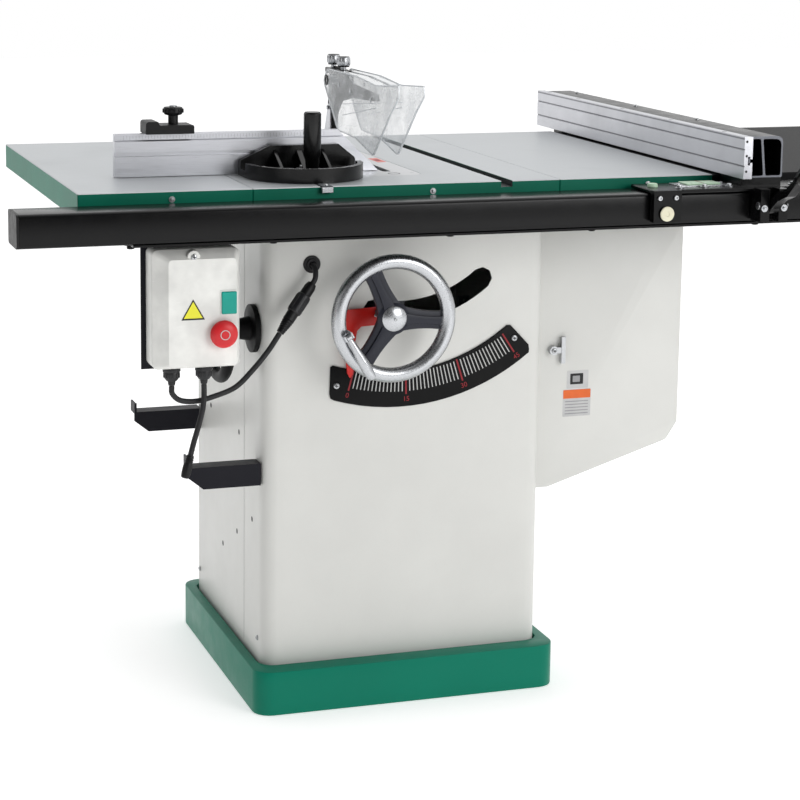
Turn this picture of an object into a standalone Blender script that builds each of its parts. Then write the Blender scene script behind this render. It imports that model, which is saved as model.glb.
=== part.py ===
"""Ten-inch left-tilting cabinet table saw, built as separate pieces in metres, +Z up.

The origin is the centre of the base's underside. +X runs along the fence rails to the
right, -Y is the operator's side. Everything that tilts swings about the line where the
blade meets the table's surface. The blade rises on an arm that a worm drives through a
toothed sector, and a second worm tilts the whole carriage through a larger sector.
"""

import math

import bmesh
import bpy
from mathutils import Matrix, Vector

# ---------------------------------------------------------------- driving dimensions
GAP = 0.0003

BASE_SIZE = 0.5207
BASE_HEIGHT = 0.073
BASE_CORNER = 0.030
PLINTH_SEAT = 0.060

CABINET_HALF_WIDTH = 0.240
CABINET_FRONT = -0.222
CABINET_BACK = 0.236
CABINET_TOP = 0.8225
CABINET_CORNER = 0.025
SHEET = 0.002

TABLE_TOP = 0.864
TABLE_UNDERSIDE = 0.823
TABLE_SKIN = 0.0105
TABLE_RIM = 0.012
TABLE_FRONT = -0.291
TABLE_BACK = 0.395
TABLE_LEFT = -0.547
TABLE_RIGHT = 0.503
MAIN_LEFT = -0.276
MAIN_RIGHT = 0.232
SLOT_LEFT_X = -0.159
SLOT_RIGHT_X = 0.141
SLOT_WIDTH = 0.0193
SLOT_DEPTH = 0.0097

RAIL_LEFT = -0.648
RAIL_RIGHT = 1.486
RAIL_FRONT = -0.373
RAIL_BACK = -0.297
RAIL_BOTTOM = 0.796
RAIL_TOP = 0.847

BLADE_X = -0.010
BLADE_RADIUS = 0.127
BLADE_PLATE = 0.0012
TOOTH_COUNT = 40

ARM_PIVOT = Vector((0.0, 0.165, 0.775))
ARM_LENGTH = 0.155
RAISE_TRAVEL = math.radians(30.6)
ARM_REST = RAISE_TRAVEL / 2
MOTOR_CENTRE = Vector((0.035, 0.0, 0.464))
MOTOR_RADIUS = 0.072
FIN_COUNT = 16
PULLEY_X = -0.125

WORM_PITCH = 0.010
WORM_CREST = 0.0105
WORM_CORE = 0.0075
THREAD_HALF = 0.0028
MESH_DEPTH = 0.0018
HEIGHT_AXIS_X = -0.045
HEIGHT_AXIS_Z = 0.650
TILT_AXIS_Z = 0.622
TILT_SHAFT_Y = -0.170

WHEEL_RADIUS = 0.1025
WHEEL_Y = -0.288
TILT_WHEEL_X = -0.300
TILT_WHEEL_RADIUS = 0.085

KNOB_REAR = 0.158
KNOB_FRONT = 0.100
SHIELD_OFFSET = 0.0225
PAWL_CLEARANCE = 0.0105
HANDLE_FORWARD = 0.0205
HANDLE_PIN_X = -0.081
HANDLE_PIN_Z = -0.022
HANDLE_LEAN = math.radians(30.26)

SCALE_INNER = 0.318
SCALE_OUTER = 0.374
SLOT_ARC = 0.217

LATCH_X = 0.2640
LATCH_Z = 0.5655

START_X = -0.328
START_Z = 0.699
STOP_X = -0.338
STOP_Z = 0.6525

FENCE_LEFT = 0.5095
FENCE_FRONT = -0.372
FENCE_REAR = 0.477
FENCE_BOTTOM = 0.8673
FENCE_TOP = 0.935

PARTS = "table_saw"
CUTTERS = "cutters"

GREEN = ("green_enamel", (0.004, 0.190, 0.130, 1), 0.35, 0.0)
CREAM = ("cream_enamel", (0.78, 0.78, 0.72, 1), 0.45, 0.0)
IRON = ("ground_iron", (0.62, 0.64, 0.66, 1), 0.30, 0.9)
BLACK = ("black_enamel", (0.010, 0.010, 0.012, 1), 0.30, 0.0)
PLASTIC = ("black_plastic", (0.015, 0.015, 0.017, 1), 0.55, 0.0)
STEEL = ("bright_steel", (0.70, 0.70, 0.70, 1), 0.25, 1.0)
GREY = ("insert_grey", (0.55, 0.56, 0.58, 1), 0.35, 0.6)
ALUMINIUM = ("aluminium", (0.75, 0.76, 0.78, 1), 0.35, 1.0)
WHITE = ("switch_white", (0.80, 0.80, 0.80, 1), 0.45, 0.0)
RED = ("signal_red", (0.60, 0.02, 0.02, 1), 0.40, 0.0)
START = ("start_green", (0.0, 0.32, 0.24, 1), 0.40, 0.0)
CLEAR = ("clear_guard", (0.85, 0.88, 0.90, 1), 0.10, 0.0)
RUBBER = ("rubber", (0.02, 0.02, 0.02, 1), 0.70, 0.0)


# ---------------------------------------------------------------- scene and materials
def clear_scene():
    for item in list(bpy.data.objects):
        bpy.data.objects.remove(item, do_unlink=True)


def collection(name):
    found = bpy.data.collections.get(name)
    if found is None:
        found = bpy.data.collections.new(name)
        bpy.context.scene.collection.children.link(found)
    return found


def material(spec):
    name, colour, roughness, metallic = spec
    found = bpy.data.materials.get(name)
    if found is None:
        found = bpy.data.materials.new(name)
        found.use_nodes = True
        shader = found.node_tree.nodes["Principled BSDF"]
        shader.inputs["Base Color"].default_value = colour
        shader.inputs["Roughness"].default_value = roughness
        shader.inputs["Metallic"].default_value = metallic
    return found


def add_object(name, mesh, spec=None):
    """A part when it has a material, a hidden cutter when it has none."""
    obj = bpy.data.objects.new(name, mesh)
    if spec is None:
        collection(CUTTERS).objects.link(obj)
        obj.hide_render = True
        obj.display_type = "WIRE"
        return obj
    collection(PARTS).objects.link(obj)
    mesh.materials.clear()
    mesh.materials.append(material(spec))
    return obj


# ---------------------------------------------------------------- basic forms
def box(name, low, high, spec=None):
    low, high = Vector(low), Vector(high)
    mesh = bpy.data.meshes.new(name)
    bm = bmesh.new()
    bmesh.ops.create_cube(bm, size=1.0)
    size = high - low
    bmesh.ops.scale(bm, vec=size, verts=bm.verts)
    bmesh.ops.translate(bm, vec=(low + high) / 2, verts=bm.verts)
    bm.to_mesh(mesh)
    bm.free()
    return add_object(name, mesh, spec)


def turn_to(axis):
    """The rotation that carries +Z to a direction."""
    return Vector((0, 0, 1)).rotation_difference(Vector(axis)).to_matrix().to_4x4()


def cylinder(name, start, end, radius, spec=None, end_radius=None, sides=32):
    start, end = Vector(start), Vector(end)
    span = end - start
    mesh = bpy.data.meshes.new(name)
    bm = bmesh.new()
    top = radius if end_radius is None else end_radius
    bmesh.ops.create_cone(
        bm, cap_ends=True, segments=sides, radius1=radius, radius2=top, depth=span.length
    )
    place = Matrix.Translation((start + end) / 2) @ turn_to(span.normalized())
    bmesh.ops.transform(bm, matrix=place, verts=bm.verts)
    bm.to_mesh(mesh)
    bm.free()
    obj = add_object(name, mesh, spec)
    smooth(obj)
    return obj


def smooth(obj):
    obj.data.shade_smooth()
    obj.data.set_sharp_from_angle(angle=math.radians(40))


def mesh_from_curve(curve_object, spec):
    """The curve's evaluated mesh as a new object, with its caps welded on."""
    depsgraph = bpy.context.evaluated_depsgraph_get()
    mesh = bpy.data.meshes.new_from_object(curve_object.evaluated_get(depsgraph))
    bm = bmesh.new()
    bm.from_mesh(mesh)
    bmesh.ops.remove_doubles(bm, verts=bm.verts, dist=0.00001)
    bmesh.ops.recalc_face_normals(bm, faces=bm.faces)
    bm.to_mesh(mesh)
    bm.free()
    name = curve_object.name
    matrix = curve_object.matrix_world.copy()
    bpy.data.objects.remove(curve_object, do_unlink=True)
    obj = add_object(name, mesh, spec)
    obj.matrix_world = matrix
    return obj


PLANES = {
    "XY": Matrix(((1, 0, 0), (0, 1, 0), (0, 0, 1))),
    "XZ": Matrix(((1, 0, 0), (0, 0, -1), (0, 1, 0))),
    "YZ": Matrix(((0, 0, 1), (1, 0, 0), (0, 1, 0))),
}


def plate(name, outlines, plane, low, high, spec=None):
    """A flat outline, with any holes as further loops, thick from low to high across its plane."""
    curve = bpy.data.curves.new(name, "CURVE")
    curve.dimensions = "2D"
    curve.fill_mode = "BOTH"
    curve.extrude = (high - low) / 2
    curve.render_resolution_u = 0
    for outline in outlines:
        spline = curve.splines.new("POLY")
        spline.points.add(len(outline) - 1)
        for point, (u, v) in zip(spline.points, outline):
            point.co = (u, v, 0, 1)
        spline.use_cyclic_u = True
    obj = bpy.data.objects.new(name, curve)
    bpy.context.scene.collection.objects.link(obj)
    turn = PLANES[plane].to_4x4()
    across = turn @ Vector((0, 0, 1))
    middle = (low + high) / 2 * (1 if sum(across) > 0 else -1)
    obj.matrix_world = turn @ Matrix.Translation((0, 0, middle))
    bpy.context.view_layer.update()
    made = mesh_from_curve(obj, spec)
    made.data.transform(made.matrix_world)
    made.matrix_world = Matrix.Identity(4)
    return made


def tube(name, points, radius, spec=None, resolution=3, as_mesh=False):
    curve = bpy.data.curves.new(name, "CURVE")
    curve.dimensions = "3D"
    curve.bevel_depth = radius
    curve.bevel_resolution = resolution
    curve.use_fill_caps = True
    curve.render_resolution_u = 0
    spline = curve.splines.new("POLY")
    spline.points.add(len(points) - 1)
    for point, place in zip(spline.points, points):
        point.co = (*place, 1)
    obj = bpy.data.objects.new(name, curve)
    if as_mesh:
        bpy.context.scene.collection.objects.link(obj)
        bpy.context.view_layer.update()
        return mesh_from_curve(obj, spec)
    collection(PARTS).objects.link(obj)
    curve.materials.append(material(spec))
    return obj


def revolve(name, profile, base, axis, spec=None, steps=32):
    """A closed solid turned from (radius, height) points that run down its outer side."""
    mesh = bpy.data.meshes.new(name)
    points = [(0.0, profile[0][1])] + list(profile) + [(0.0, profile[-1][1])]
    if profile[0][0] == 0.0:
        points = points[1:]
    if profile[-1][0] == 0.0:
        points = points[:-1]
    verts = [(r, 0.0, h) for r, h in clockwise(points)]
    mesh.from_pydata(verts, [(i, i + 1) for i in range(len(verts) - 1)], [])
    obj = add_object(name, mesh, spec)
    add_screw(obj, steps)
    obj.matrix_world = Matrix.Translation(base) @ turn_to(axis)
    return obj


def ring(name, profile, base, axis, spec=None, steps=48):
    """A ring turned from a closed loop of (radius, height) points."""
    mesh = bpy.data.meshes.new(name)
    verts = [(r, 0.0, h) for r, h in clockwise(profile)]
    count = len(verts)
    mesh.from_pydata(verts, [(i, (i + 1) % count) for i in range(count)], [])
    obj = add_object(name, mesh, spec)
    add_screw(obj, steps)
    obj.matrix_world = Matrix.Translation(base) @ turn_to(axis)
    return obj


def clockwise(points):
    """The profile in the order that runs down its outer side, so a turned form faces out."""
    area = 0.0
    for (r0, h0), (r1, h1) in zip(points, points[1:] + points[:1]):
        area += r0 * h1 - r1 * h0
    return points[::-1] if area > 0 else points


def add_screw(obj, steps):
    screw = obj.modifiers.new("Screw", "SCREW")
    screw.steps = steps
    screw.render_steps = steps
    screw.use_merge_vertices = True
    screw.merge_threshold = 0.00001
    screw.use_smooth_shade = False


def bevel(obj, width, segments=1, angle=40):
    modifier = obj.modifiers.new("Bevel", "BEVEL")
    modifier.width = width
    modifier.segments = segments
    modifier.limit_method = "ANGLE"
    modifier.angle_limit = math.radians(angle)
    return obj


def boolean(obj, other, operation):
    modifier = obj.modifiers.new(operation.title(), "BOOLEAN")
    modifier.operation = operation
    modifier.object = other
    modifier.solver = "EXACT"
    return obj


def cut(obj, *cutters):
    for cutter in cutters:
        boolean(obj, cutter, "DIFFERENCE")
    return obj


def join(obj, *others):
    for other in others:
        boolean(obj, other, "UNION")
    return obj


def set_origin(obj, point):
    """Move an object's origin to a joint axis and leave its form where it is."""
    shift = obj.matrix_world.inverted() @ Vector(point)
    if obj.type == "MESH":
        obj.data.transform(Matrix.Translation(-shift))
    obj.matrix_world = obj.matrix_world @ Matrix.Translation(shift)
    return obj


# ---------------------------------------------------------------- outlines
def arc(centre, radius, start, stop, steps):
    """Points on an arc; angles in degrees from straight down, positive towards +u."""
    points = []
    for i in range(steps + 1):
        angle = math.radians(start + (stop - start) * i / steps)
        points.append((centre[0] + radius * math.sin(angle), centre[1] - radius * math.cos(angle)))
    return points


def circle(centre, radius, steps=24):
    return arc(centre, radius, 0, 360 * (steps - 1) / steps, steps - 1)


def rounded(points, radius, steps=4):
    """An outline with every corner turned into an arc; radius is one number or one per corner."""
    radii = radius if isinstance(radius, (list, tuple)) else [radius] * len(points)
    out = []
    count = len(points)
    for i, corner in enumerate(points):
        here = Vector(corner)
        before = (Vector(points[i - 1]) - here).normalized()
        after = (Vector(points[(i + 1) % count]) - here).normalized()
        if radii[i] <= 0:
            out.append(tuple(here))
            continue
        half = before.angle(after) / 2
        reach = radii[i] / math.tan(half)
        first = here + before * reach
        last = here + after * reach
        middle = here + (before + after).normalized() * (radii[i] / math.sin(half))
        start = math.atan2(first.y - middle.y, first.x - middle.x)
        sweep = math.atan2(last.y - middle.y, last.x - middle.x) - start
        sweep = (sweep + math.pi) % (2 * math.pi) - math.pi
        for k in range(steps + 1):
            angle = start + sweep * k / steps
            out.append((middle.x + radii[i] * math.cos(angle), middle.y + radii[i] * math.sin(angle)))
    return out


def rectangle(low, high, radius=0.0, steps=4):
    corners = [(low[0], low[1]), (high[0], low[1]), (high[0], high[1]), (low[0], high[1])]
    return rounded(corners, radius, steps) if radius else corners


def band(centre, inner, outer, start, stop, steps):
    """A slice of a ring."""
    return arc(centre, outer, start, stop, steps) + arc(centre, inner, stop, start, steps)


def long_hole(centre, radius, half_width, start, stop, steps):
    """An arc-shaped slot with round ends."""
    points = arc(centre, radius + half_width, start, stop, steps)
    points += end_cap(centre, radius, half_width, stop, 1)
    points += arc(centre, radius - half_width, stop, start, steps)
    points += end_cap(centre, radius, half_width, start, -1)
    return points


def end_cap(centre, radius, half_width, angle, side):
    middle = arc(centre, radius, angle, angle, 1)[0]
    points = []
    for k in range(1, 4):
        turn = math.radians(angle + 180 * k / 4 + (0 if side > 0 else 180))
        points.append(
            (middle[0] + half_width * math.sin(turn), middle[1] - half_width * math.cos(turn))
        )
    return points


def toothed_arc(centre, tip, depth, pitch_angle, first, count):
    """Straight-sided teeth on an arc; the first tooth is centred at the angle first."""
    root = tip - depth
    shape = ((-0.25, root), (-0.12, tip), (0.12, tip), (0.25, root))
    points = []
    for k in range(count):
        for share, radius in shape:
            angle = first + pitch_angle * (k + share)
            points.append(arc(centre, radius, angle, angle, 1)[0])
    return points


def smooth_path(route, count):
    """Points along one Catmull-Rom curve through the route's own points."""
    route = [Vector(p) for p in route]
    ends = [route[0] * 2 - route[1]] + route + [route[-1] * 2 - route[-2]]
    points = []
    for i in range(count):
        t = i / (count - 1) * (len(route) - 1)
        k = min(int(t), len(route) - 2)
        s = t - k
        a, b, c, d = ends[k : k + 4]
        points.append(
            0.5
            * (
                2 * b
                + (c - a) * s
                + (2 * a - 5 * b + 4 * c - d) * s**2
                + (3 * b - a - 3 * c + d) * s**3
            )
        )
    return points


# ---------------------------------------------------------------- base and cabinet
def make_base():
    half = BASE_SIZE / 2
    outline = rectangle((-half, -half), (half, half), BASE_CORNER, 5)
    base = plate("base_plinth", [outline], "XY", 0, BASE_HEIGHT, GREEN)
    bevel(base, 0.007, 2, 60)
    side = CABINET_HALF_WIDTH + 0.004
    seat = rectangle((-side, CABINET_FRONT - 0.004), (side, CABINET_BACK + 0.004), 0.027, 4)
    well = rectangle((-0.215, -0.197), (0.215, 0.211), 0.02, 4)
    cut(
        base,
        plate("cut_base_seat", [seat], "XY", PLINTH_SEAT, 0.1),
        plate("cut_base_well", [well], "XY", 0.008, 0.1),
    )


def make_cabinet():
    low = (-CABINET_HALF_WIDTH, CABINET_FRONT)
    high = (CABINET_HALF_WIDTH, CABINET_BACK)
    inner_low = (low[0] + SHEET, low[1] + SHEET)
    inner_high = (high[0] - SHEET, high[1] - SHEET)
    outline = rectangle(low, high, CABINET_CORNER, 4)
    inside = rectangle(inner_low, inner_high, CABINET_CORNER - SHEET, 4)
    foot = PLINTH_SEAT + GAP
    shell = plate("cabinet_shell", [outline, inside], "XY", foot, CABINET_TOP, CREAM)
    pivot = (BLADE_X, TABLE_TOP)
    slot = long_hole(pivot, SLOT_ARC, 0.018, -12.5, 39.5, 14)
    opening = rectangle((-0.172, 0.365), (0.195, 0.786), 0.03, 4)
    cut(
        shell,
        plate("cut_front_slot", [slot], "XZ", -0.24, -0.20),
        cylinder("cut_grommet", (-0.161, -0.25, 0.731), (-0.161, -0.19, 0.731), 0.0125, sides=16),
        cylinder(
            "cut_tilt_shaft",
            (-0.26, TILT_SHAFT_Y, TILT_AXIS_Z),
            (-0.22, TILT_SHAFT_Y, TILT_AXIS_Z),
            0.02,
            sides=16,
        ),
        plate("cut_motor_opening", [opening], "YZ", 0.22, 0.26),
        cylinder("cut_dust_hole", (0, 0.22, 0.17), (0, 0.25, 0.17), 0.048, sides=24),
    )


def make_dust_port():
    profile = [(0.046, 0), (0.068, 0), (0.068, 0.003), (0.051, 0.003), (0.0495, 0.05), (0.046, 0.05)]
    ring("dust_port", profile, (0, CABINET_BACK + GAP, 0.17), (0, 1, 0), PLASTIC, 24)


def make_angle_scale():
    pivot = (BLADE_X, TABLE_TOP)
    outline = band(pivot, SCALE_INNER, SCALE_OUTER, -21.4, 37.8, 18)
    holes = [circle(arc(pivot, 0.346, a, a, 1)[0], 0.0035, 10) for a in (-19.8, 36.4)]
    low = CABINET_FRONT - GAP - 0.0022
    plate("angle_scale", [outline] + holes, "XZ", low, CABINET_FRONT - GAP, BLACK)


def make_storage_brackets():
    left = -CABINET_HALF_WIDTH - GAP
    for name, y in (("storage_bracket_front", -0.208), ("storage_bracket_rear", 0.196)):
        face = [(left, 0.372), (-0.335, 0.372), (-0.360, 0.392), (-0.360, 0.424), (-0.356, 0.424)]
        face += [(-0.356, 0.408), (left, 0.408)]
        bracket = plate(name, [face], "XZ", y - 0.002, y + 0.002, BLACK)
        join(
            bracket,
            box("join_shelf_" + name, (-0.358, y - 0.001, 0.404), (left, y + 0.030, 0.408)),
            box("join_flange_" + name, (left - 0.003, y - 0.001, 0.372), (left, y + 0.030, 0.4075)),
            box("join_tip_" + name, (-0.360, y - 0.001, 0.405), (-0.357, y + 0.030, 0.424)),
        )


# ---------------------------------------------------------------- tables, rails and legs
def hollow_casting(name, left, right, spec, ribs):
    """A ground plate with a rim and ribs under it, open below."""
    table = box(name, (left, TABLE_FRONT, TABLE_UNDERSIDE), (right, TABLE_BACK, TABLE_TOP), spec)
    bevel(table, 0.0012, 1)
    edges = [left + TABLE_RIM] + list(ribs) + [right - TABLE_RIM]
    front = TABLE_FRONT + TABLE_RIM
    back = TABLE_BACK - TABLE_RIM
    for i in range(len(edges) - 1):
        low_x = edges[i] + (0.005 if i else 0)
        high_x = edges[i + 1] - (0.005 if i + 2 < len(edges) else 0)
        hollow = box(
            f"cut_{name}_{i}", (low_x, front, 0.80), (high_x, back, TABLE_TOP - TABLE_SKIN)
        )
        cut(table, hollow)
    return table


def make_tables():
    table = hollow_casting("main_table", MAIN_LEFT, MAIN_RIGHT, IRON, [])
    webs = [
        box(
            f"join_slot_web_{i}",
            (x - 0.0165, TABLE_FRONT + 0.004, 0.8440),
            (x + 0.0165, TABLE_BACK - 0.004, 0.856),
        )
        for i, x in enumerate((SLOT_LEFT_X, SLOT_RIGHT_X))
    ]
    cross = [
        box(
            f"join_cross_rib_{i}",
            (MAIN_LEFT + 0.005, y - 0.004, 0.832),
            (MAIN_RIGHT - 0.005, y + 0.004, 0.856),
        )
        for i, y in enumerate((-0.232, 0.275))
    ]
    join(table, *webs, *cross)
    for i, x in enumerate((SLOT_LEFT_X, SLOT_RIGHT_X)):
        low = (x - SLOT_WIDTH / 2, TABLE_FRONT - 0.01, TABLE_TOP - SLOT_DEPTH)
        cut(table, box(f"cut_miter_slot_{i}", low, (x + SLOT_WIDTH / 2, TABLE_BACK + 0.01, 0.9)))
    throat = rectangle((-0.0585, -0.1855), (0.0385, 0.2205), 0.02, 6)
    ledge = rectangle((-0.0525, -0.1795), (0.0325, 0.2145), 0.016, 6)
    cut(
        table,
        plate("cut_throat", [throat], "XY", TABLE_TOP - 0.0063, 0.9),
        plate("cut_throat_through", [ledge], "XY", 0.80, 0.9),
    )
    hollow_casting("left_wing", TABLE_LEFT, MAIN_LEFT - GAP, IRON, [-0.412])
    hollow_casting("right_wing", MAIN_RIGHT + GAP, TABLE_RIGHT, IRON, [0.368])
    insert = rectangle((-0.0582, -0.1852), (0.0382, 0.2202), 0.0197, 6)
    blade_slot = rectangle((-0.0135, -0.132), (0.0005, 0.199), 0.003, 2)
    plate("table_insert", [insert, blade_slot], "XY", TABLE_TOP - 0.006, TABLE_TOP - 0.0002, GREY)




def make_extension():
    left = TABLE_RIGHT + GAP
    board = box(
        "extension_table",
        (left, TABLE_FRONT, 0.8315),
        (RAIL_RIGHT, 0.377, TABLE_TOP - 0.0005),
        BLACK,
    )
    bevel(board, 0.0015, 1)
    join(
        board,
        box("join_apron_front", (left + 0.02, -0.283, 0.795), (RAIL_RIGHT - 0.02, -0.265, 0.84)),
        box("join_apron_rear", (left + 0.02, 0.351, 0.795), (RAIL_RIGHT - 0.02, 0.369, 0.84)),
    )
    for name, y in (("extension_leg_front", -0.240), ("extension_leg_rear", 0.326)):
        leg = box(name, (1.385, y - 0.019, 0.045), (1.423, y + 0.019, 0.8312), BLACK)
        bevel(leg, 0.003, 2)
        join(
            leg,
            cylinder("join_stud_" + name, (1.404, y, 0.008), (1.404, y, 0.06), 0.005, sides=12),
            revolve(
                "join_foot_" + name,
                [(0.008, 0.016), (0.018, 0.010), (0.020, 0.0)],
                (1.404, y, 0.0),
                (0, 0, 1),
                steps=20,
            ),
        )


def make_rails():
    section = rectangle((RAIL_FRONT, RAIL_BOTTOM), (RAIL_BACK, RAIL_TOP), 0.006, 4)
    hollow = rectangle(
        (RAIL_FRONT + 0.003, RAIL_BOTTOM + 0.003),
        (RAIL_BACK - 0.003, RAIL_TOP - 0.003),
        0.003,
        2,
    )
    plate("front_rail", [section, hollow], "YZ", RAIL_LEFT, RAIL_RIGHT, BLACK)
    plug = rectangle(
        (RAIL_FRONT + 0.0033, RAIL_BOTTOM + 0.0033),
        (RAIL_BACK - 0.0033, RAIL_TOP - 0.0033),
        0.003,
        2,
    )
    cap = plate("rail_cap_left", [section], "YZ", RAIL_LEFT - 0.004, RAIL_LEFT - GAP, PLASTIC)
    join(cap, plate("join_cap_plug", [plug], "YZ", RAIL_LEFT - 0.001, RAIL_LEFT + 0.012))
    back = TABLE_FRONT - GAP
    angle = [(RAIL_FRONT + 0.002, 0.7922), (back, 0.7922), (back, 0.842), (back - 0.0054, 0.842)]
    angle += [(back - 0.0054, RAIL_BOTTOM - GAP), (RAIL_FRONT + 0.002, RAIL_BOTTOM - GAP)]
    plate("front_angle", [angle], "YZ", -0.480, 1.460, BLACK)
    rear = TABLE_BACK + GAP
    lip = [(rear, 0.800), (rear + 0.005, 0.800), (rear + 0.005, 0.851), (0.450, 0.851)]
    lip += [(0.450, 0.856), (rear, 0.856)]
    plate("rear_rail", [lip], "YZ", -0.480, 1.460, BLACK)


# ---------------------------------------------------------------- tilting carriage
def make_trunnion_brackets():
    pivot = (BLADE_X, TABLE_TOP)
    places = (("trunnion_bracket_front", -0.190, -0.178, 1), ("trunnion_bracket_rear", 0.219, 0.231, -1))
    for name, low, high, side in places:
        yoke = plate(name, [band(pivot, 0.112, 0.142, -66, 66, 14)], "XZ", low, high, IRON)
        face = high if side > 0 else low
        rib = (face - 0.002, face + 0.008) if side > 0 else (face - 0.008, face + 0.002)
        join(
            yoke,
            plate("join_rib_" + name, [band(pivot, 0.1235, 0.1305, -63, 63, 14)], "XZ", *rib),
            box(
                "join_pad_left_" + name,
                (-0.168, low - 0.006, 0.806),
                (-0.108, high + 0.0004 * side, 0.8222),
            ),
            box(
                "join_pad_right_" + name,
                (0.088, low - 0.006, 0.806),
                (0.148, high + 0.0004 * side, 0.8222),
            ),
        )


def make_cradle():
    """Front sector plate, rear arc, side beam, worm sleeve and arm pin, cast as one."""
    pivot = (BLADE_X, TABLE_TOP)
    reach = TABLE_TOP - TILT_AXIS_Z
    tip = reach - WORM_CREST + MESH_DEPTH
    step = math.degrees(WORM_PITCH / (tip - MESH_DEPTH / 2))
    count = 23
    first = -step * (count - 2.5)
    teeth = toothed_arc(pivot, tip, 0.0045, step, first, count)
    last = first + step * (count - 1)
    outline = teeth + arc(pivot, 0.150, 14, 14, 1)[:1] + arc(pivot, 0.108, 14, last - 62, 8)
    outline = outline + arc(pivot, 0.160, last - 62, last - 62, 1)[:1]
    cradle = plate("tilt_cradle", [outline], "XZ", -0.1765, -0.1645, IRON)
    groove = band(pivot, 0.1220, 0.1320, -80, 40, 14)
    rear = band(pivot, 0.108, 0.150, -56, 14, 8)
    sleeve_ends = ((HEIGHT_AXIS_X, -0.246, HEIGHT_AXIS_Z), (HEIGHT_AXIS_X, 0.105, HEIGHT_AXIS_Z))
    ear = [(0.152, 0.752), (0.152, 0.79), (0.176, 0.800), (0.176, 0.842), (0.192, 0.842)]
    ear += [(0.212, 0.800), (0.212, 0.752)]
    join(
        cradle,
        plate("join_rear_arc", [rear], "XZ", 0.205, 0.2175),
        box("join_beam", (-0.164, -0.170, 0.722), (-0.150, 0.212, 0.752)),
        cylinder("join_sleeve", *sleeve_ends, 0.0125, sides=14),
        plate("join_ear", [ear], "YZ", -0.032, -0.0215),
        box("join_splitter_seat", (-0.030, 0.172, 0.806), (-0.0119, 0.192, 0.840)),
        cylinder("join_arm_pin", (-0.158, 0.165, 0.775), (-0.026, 0.165, 0.775), 0.010, sides=12),
        box("join_pin_block", (-0.164, 0.147, 0.735), (-0.146, 0.212, 0.793)),
    )
    cut(
        cradle,
        plate("cut_front_groove", [groove], "XZ", -0.18, -0.1695),
        plate("cut_rear_groove", [groove], "XZ", 0.2105, 0.22),
        cylinder(
            "cut_sleeve",
            (HEIGHT_AXIS_X, -0.26, HEIGHT_AXIS_Z),
            (HEIGHT_AXIS_X, 0.12, HEIGHT_AXIS_Z),
            0.0082,
            sides=12,
        ),
    )
    set_origin(cradle, (BLADE_X, 0, TABLE_TOP))


def make_pointer():
    """A bent red finger clamped round the sleeve in front of the panel."""
    x, z = HEIGHT_AXIS_X, HEIGHT_AXIS_Z
    outline = [(x, z - 0.020), (x + 0.018, z), (x, z + 0.020), (x - 0.062, z + 0.020)]
    outline += [(x - 0.075, z + 0.008), (x - 0.076, z - 0.072), (x - 0.0725, z - 0.098)]
    outline += [(x - 0.062, z - 0.072), (x - 0.056, z - 0.014)]
    shape = rounded(outline, [0.01, 0.012, 0.012, 0.006, 0.006, 0, 0, 0, 0.004], 3)
    hole = circle((x, z), 0.0128, 20)
    pointer = plate("tilt_pointer", [shape, hole], "XZ", -0.2315, -0.2285, RED)
    set_origin(pointer, (BLADE_X, 0, TABLE_TOP))


def helix(radius, turns, axis, centre, per_turn=10):
    """Thread points whose middle crest points up at the centre."""
    along = Vector(axis)
    up = Vector((0, 0, 1))
    side = along.cross(up)
    points = []
    total = int(turns * per_turn)
    for i in range(total + 1):
        t = 2 * math.pi * (i / per_turn - turns / 2)
        lift = up * math.cos(t) + side * math.sin(t)
        points.append(Vector(centre) + lift * radius + along * (WORM_PITCH * t / (2 * math.pi)))
    return points


def worm_thread(name, axis, centre, turns=3):
    route = helix(WORM_CREST - THREAD_HALF, turns, axis, centre)
    return tube(name, route, THREAD_HALF, resolution=0, as_mesh=True)


def make_height_drive():
    x, z = HEIGHT_AXIS_X, HEIGHT_AXIS_Z
    shaft = cylinder("height_shaft", (x, -0.296, z), (x, 0.205, z), WORM_CORE, STEEL, sides=16)
    join(shaft, worm_thread("join_height_thread", (0, 1, 0), (x, ARM_PIVOT.y, z)))
    set_origin(shaft, (x, 0, z))
    centre = Vector((x, WHEEL_Y, z))
    wheel = make_handwheel("height_handwheel", centre, (0, -1, 0), WHEEL_RADIUS, STEEL, 115, 32)
    make_wheel_handle(wheel, centre)


def make_handwheel(name, centre, axis, radius, spec, first_angle, steps):
    """Thick rounded rim, three swept spokes and a bored hub; axis points at the operator."""
    rim_radius = 0.0115
    middle = radius - rim_radius
    loop = []
    for k in range(8):
        a = 2 * math.pi * (k + 0.5) / 8
        loop.append((middle + rim_radius * math.cos(a), rim_radius * 0.95 * math.sin(a)))
    wheel = ring(name, loop, centre, axis, spec, steps)
    turn = Matrix.Translation(centre) @ turn_to(axis)
    hub = ring(
        "join_hub_" + name,
        [
            (WORM_CORE + GAP, -0.022), (0.019, -0.022), (0.021, -0.004), (0.0185, 0.0065),
            (WORM_CORE + GAP, 0.0065),
        ],
        centre,
        axis,
        steps=14,
    )
    join(wheel, hub)
    for k in range(3):
        angle = math.radians(first_angle + 120 * k)
        out = Vector((math.cos(angle), math.sin(angle), 0))
        spoke = box(f"join_spoke_{k}_{name}", (0.014, -0.0085, -0.010), (middle, 0.0085, 0.001))
        spoke.matrix_world = turn @ Matrix.Rotation(angle, 4, "Z")
        join(wheel, spoke)
    set_origin(wheel, centre)
    return wheel


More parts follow.
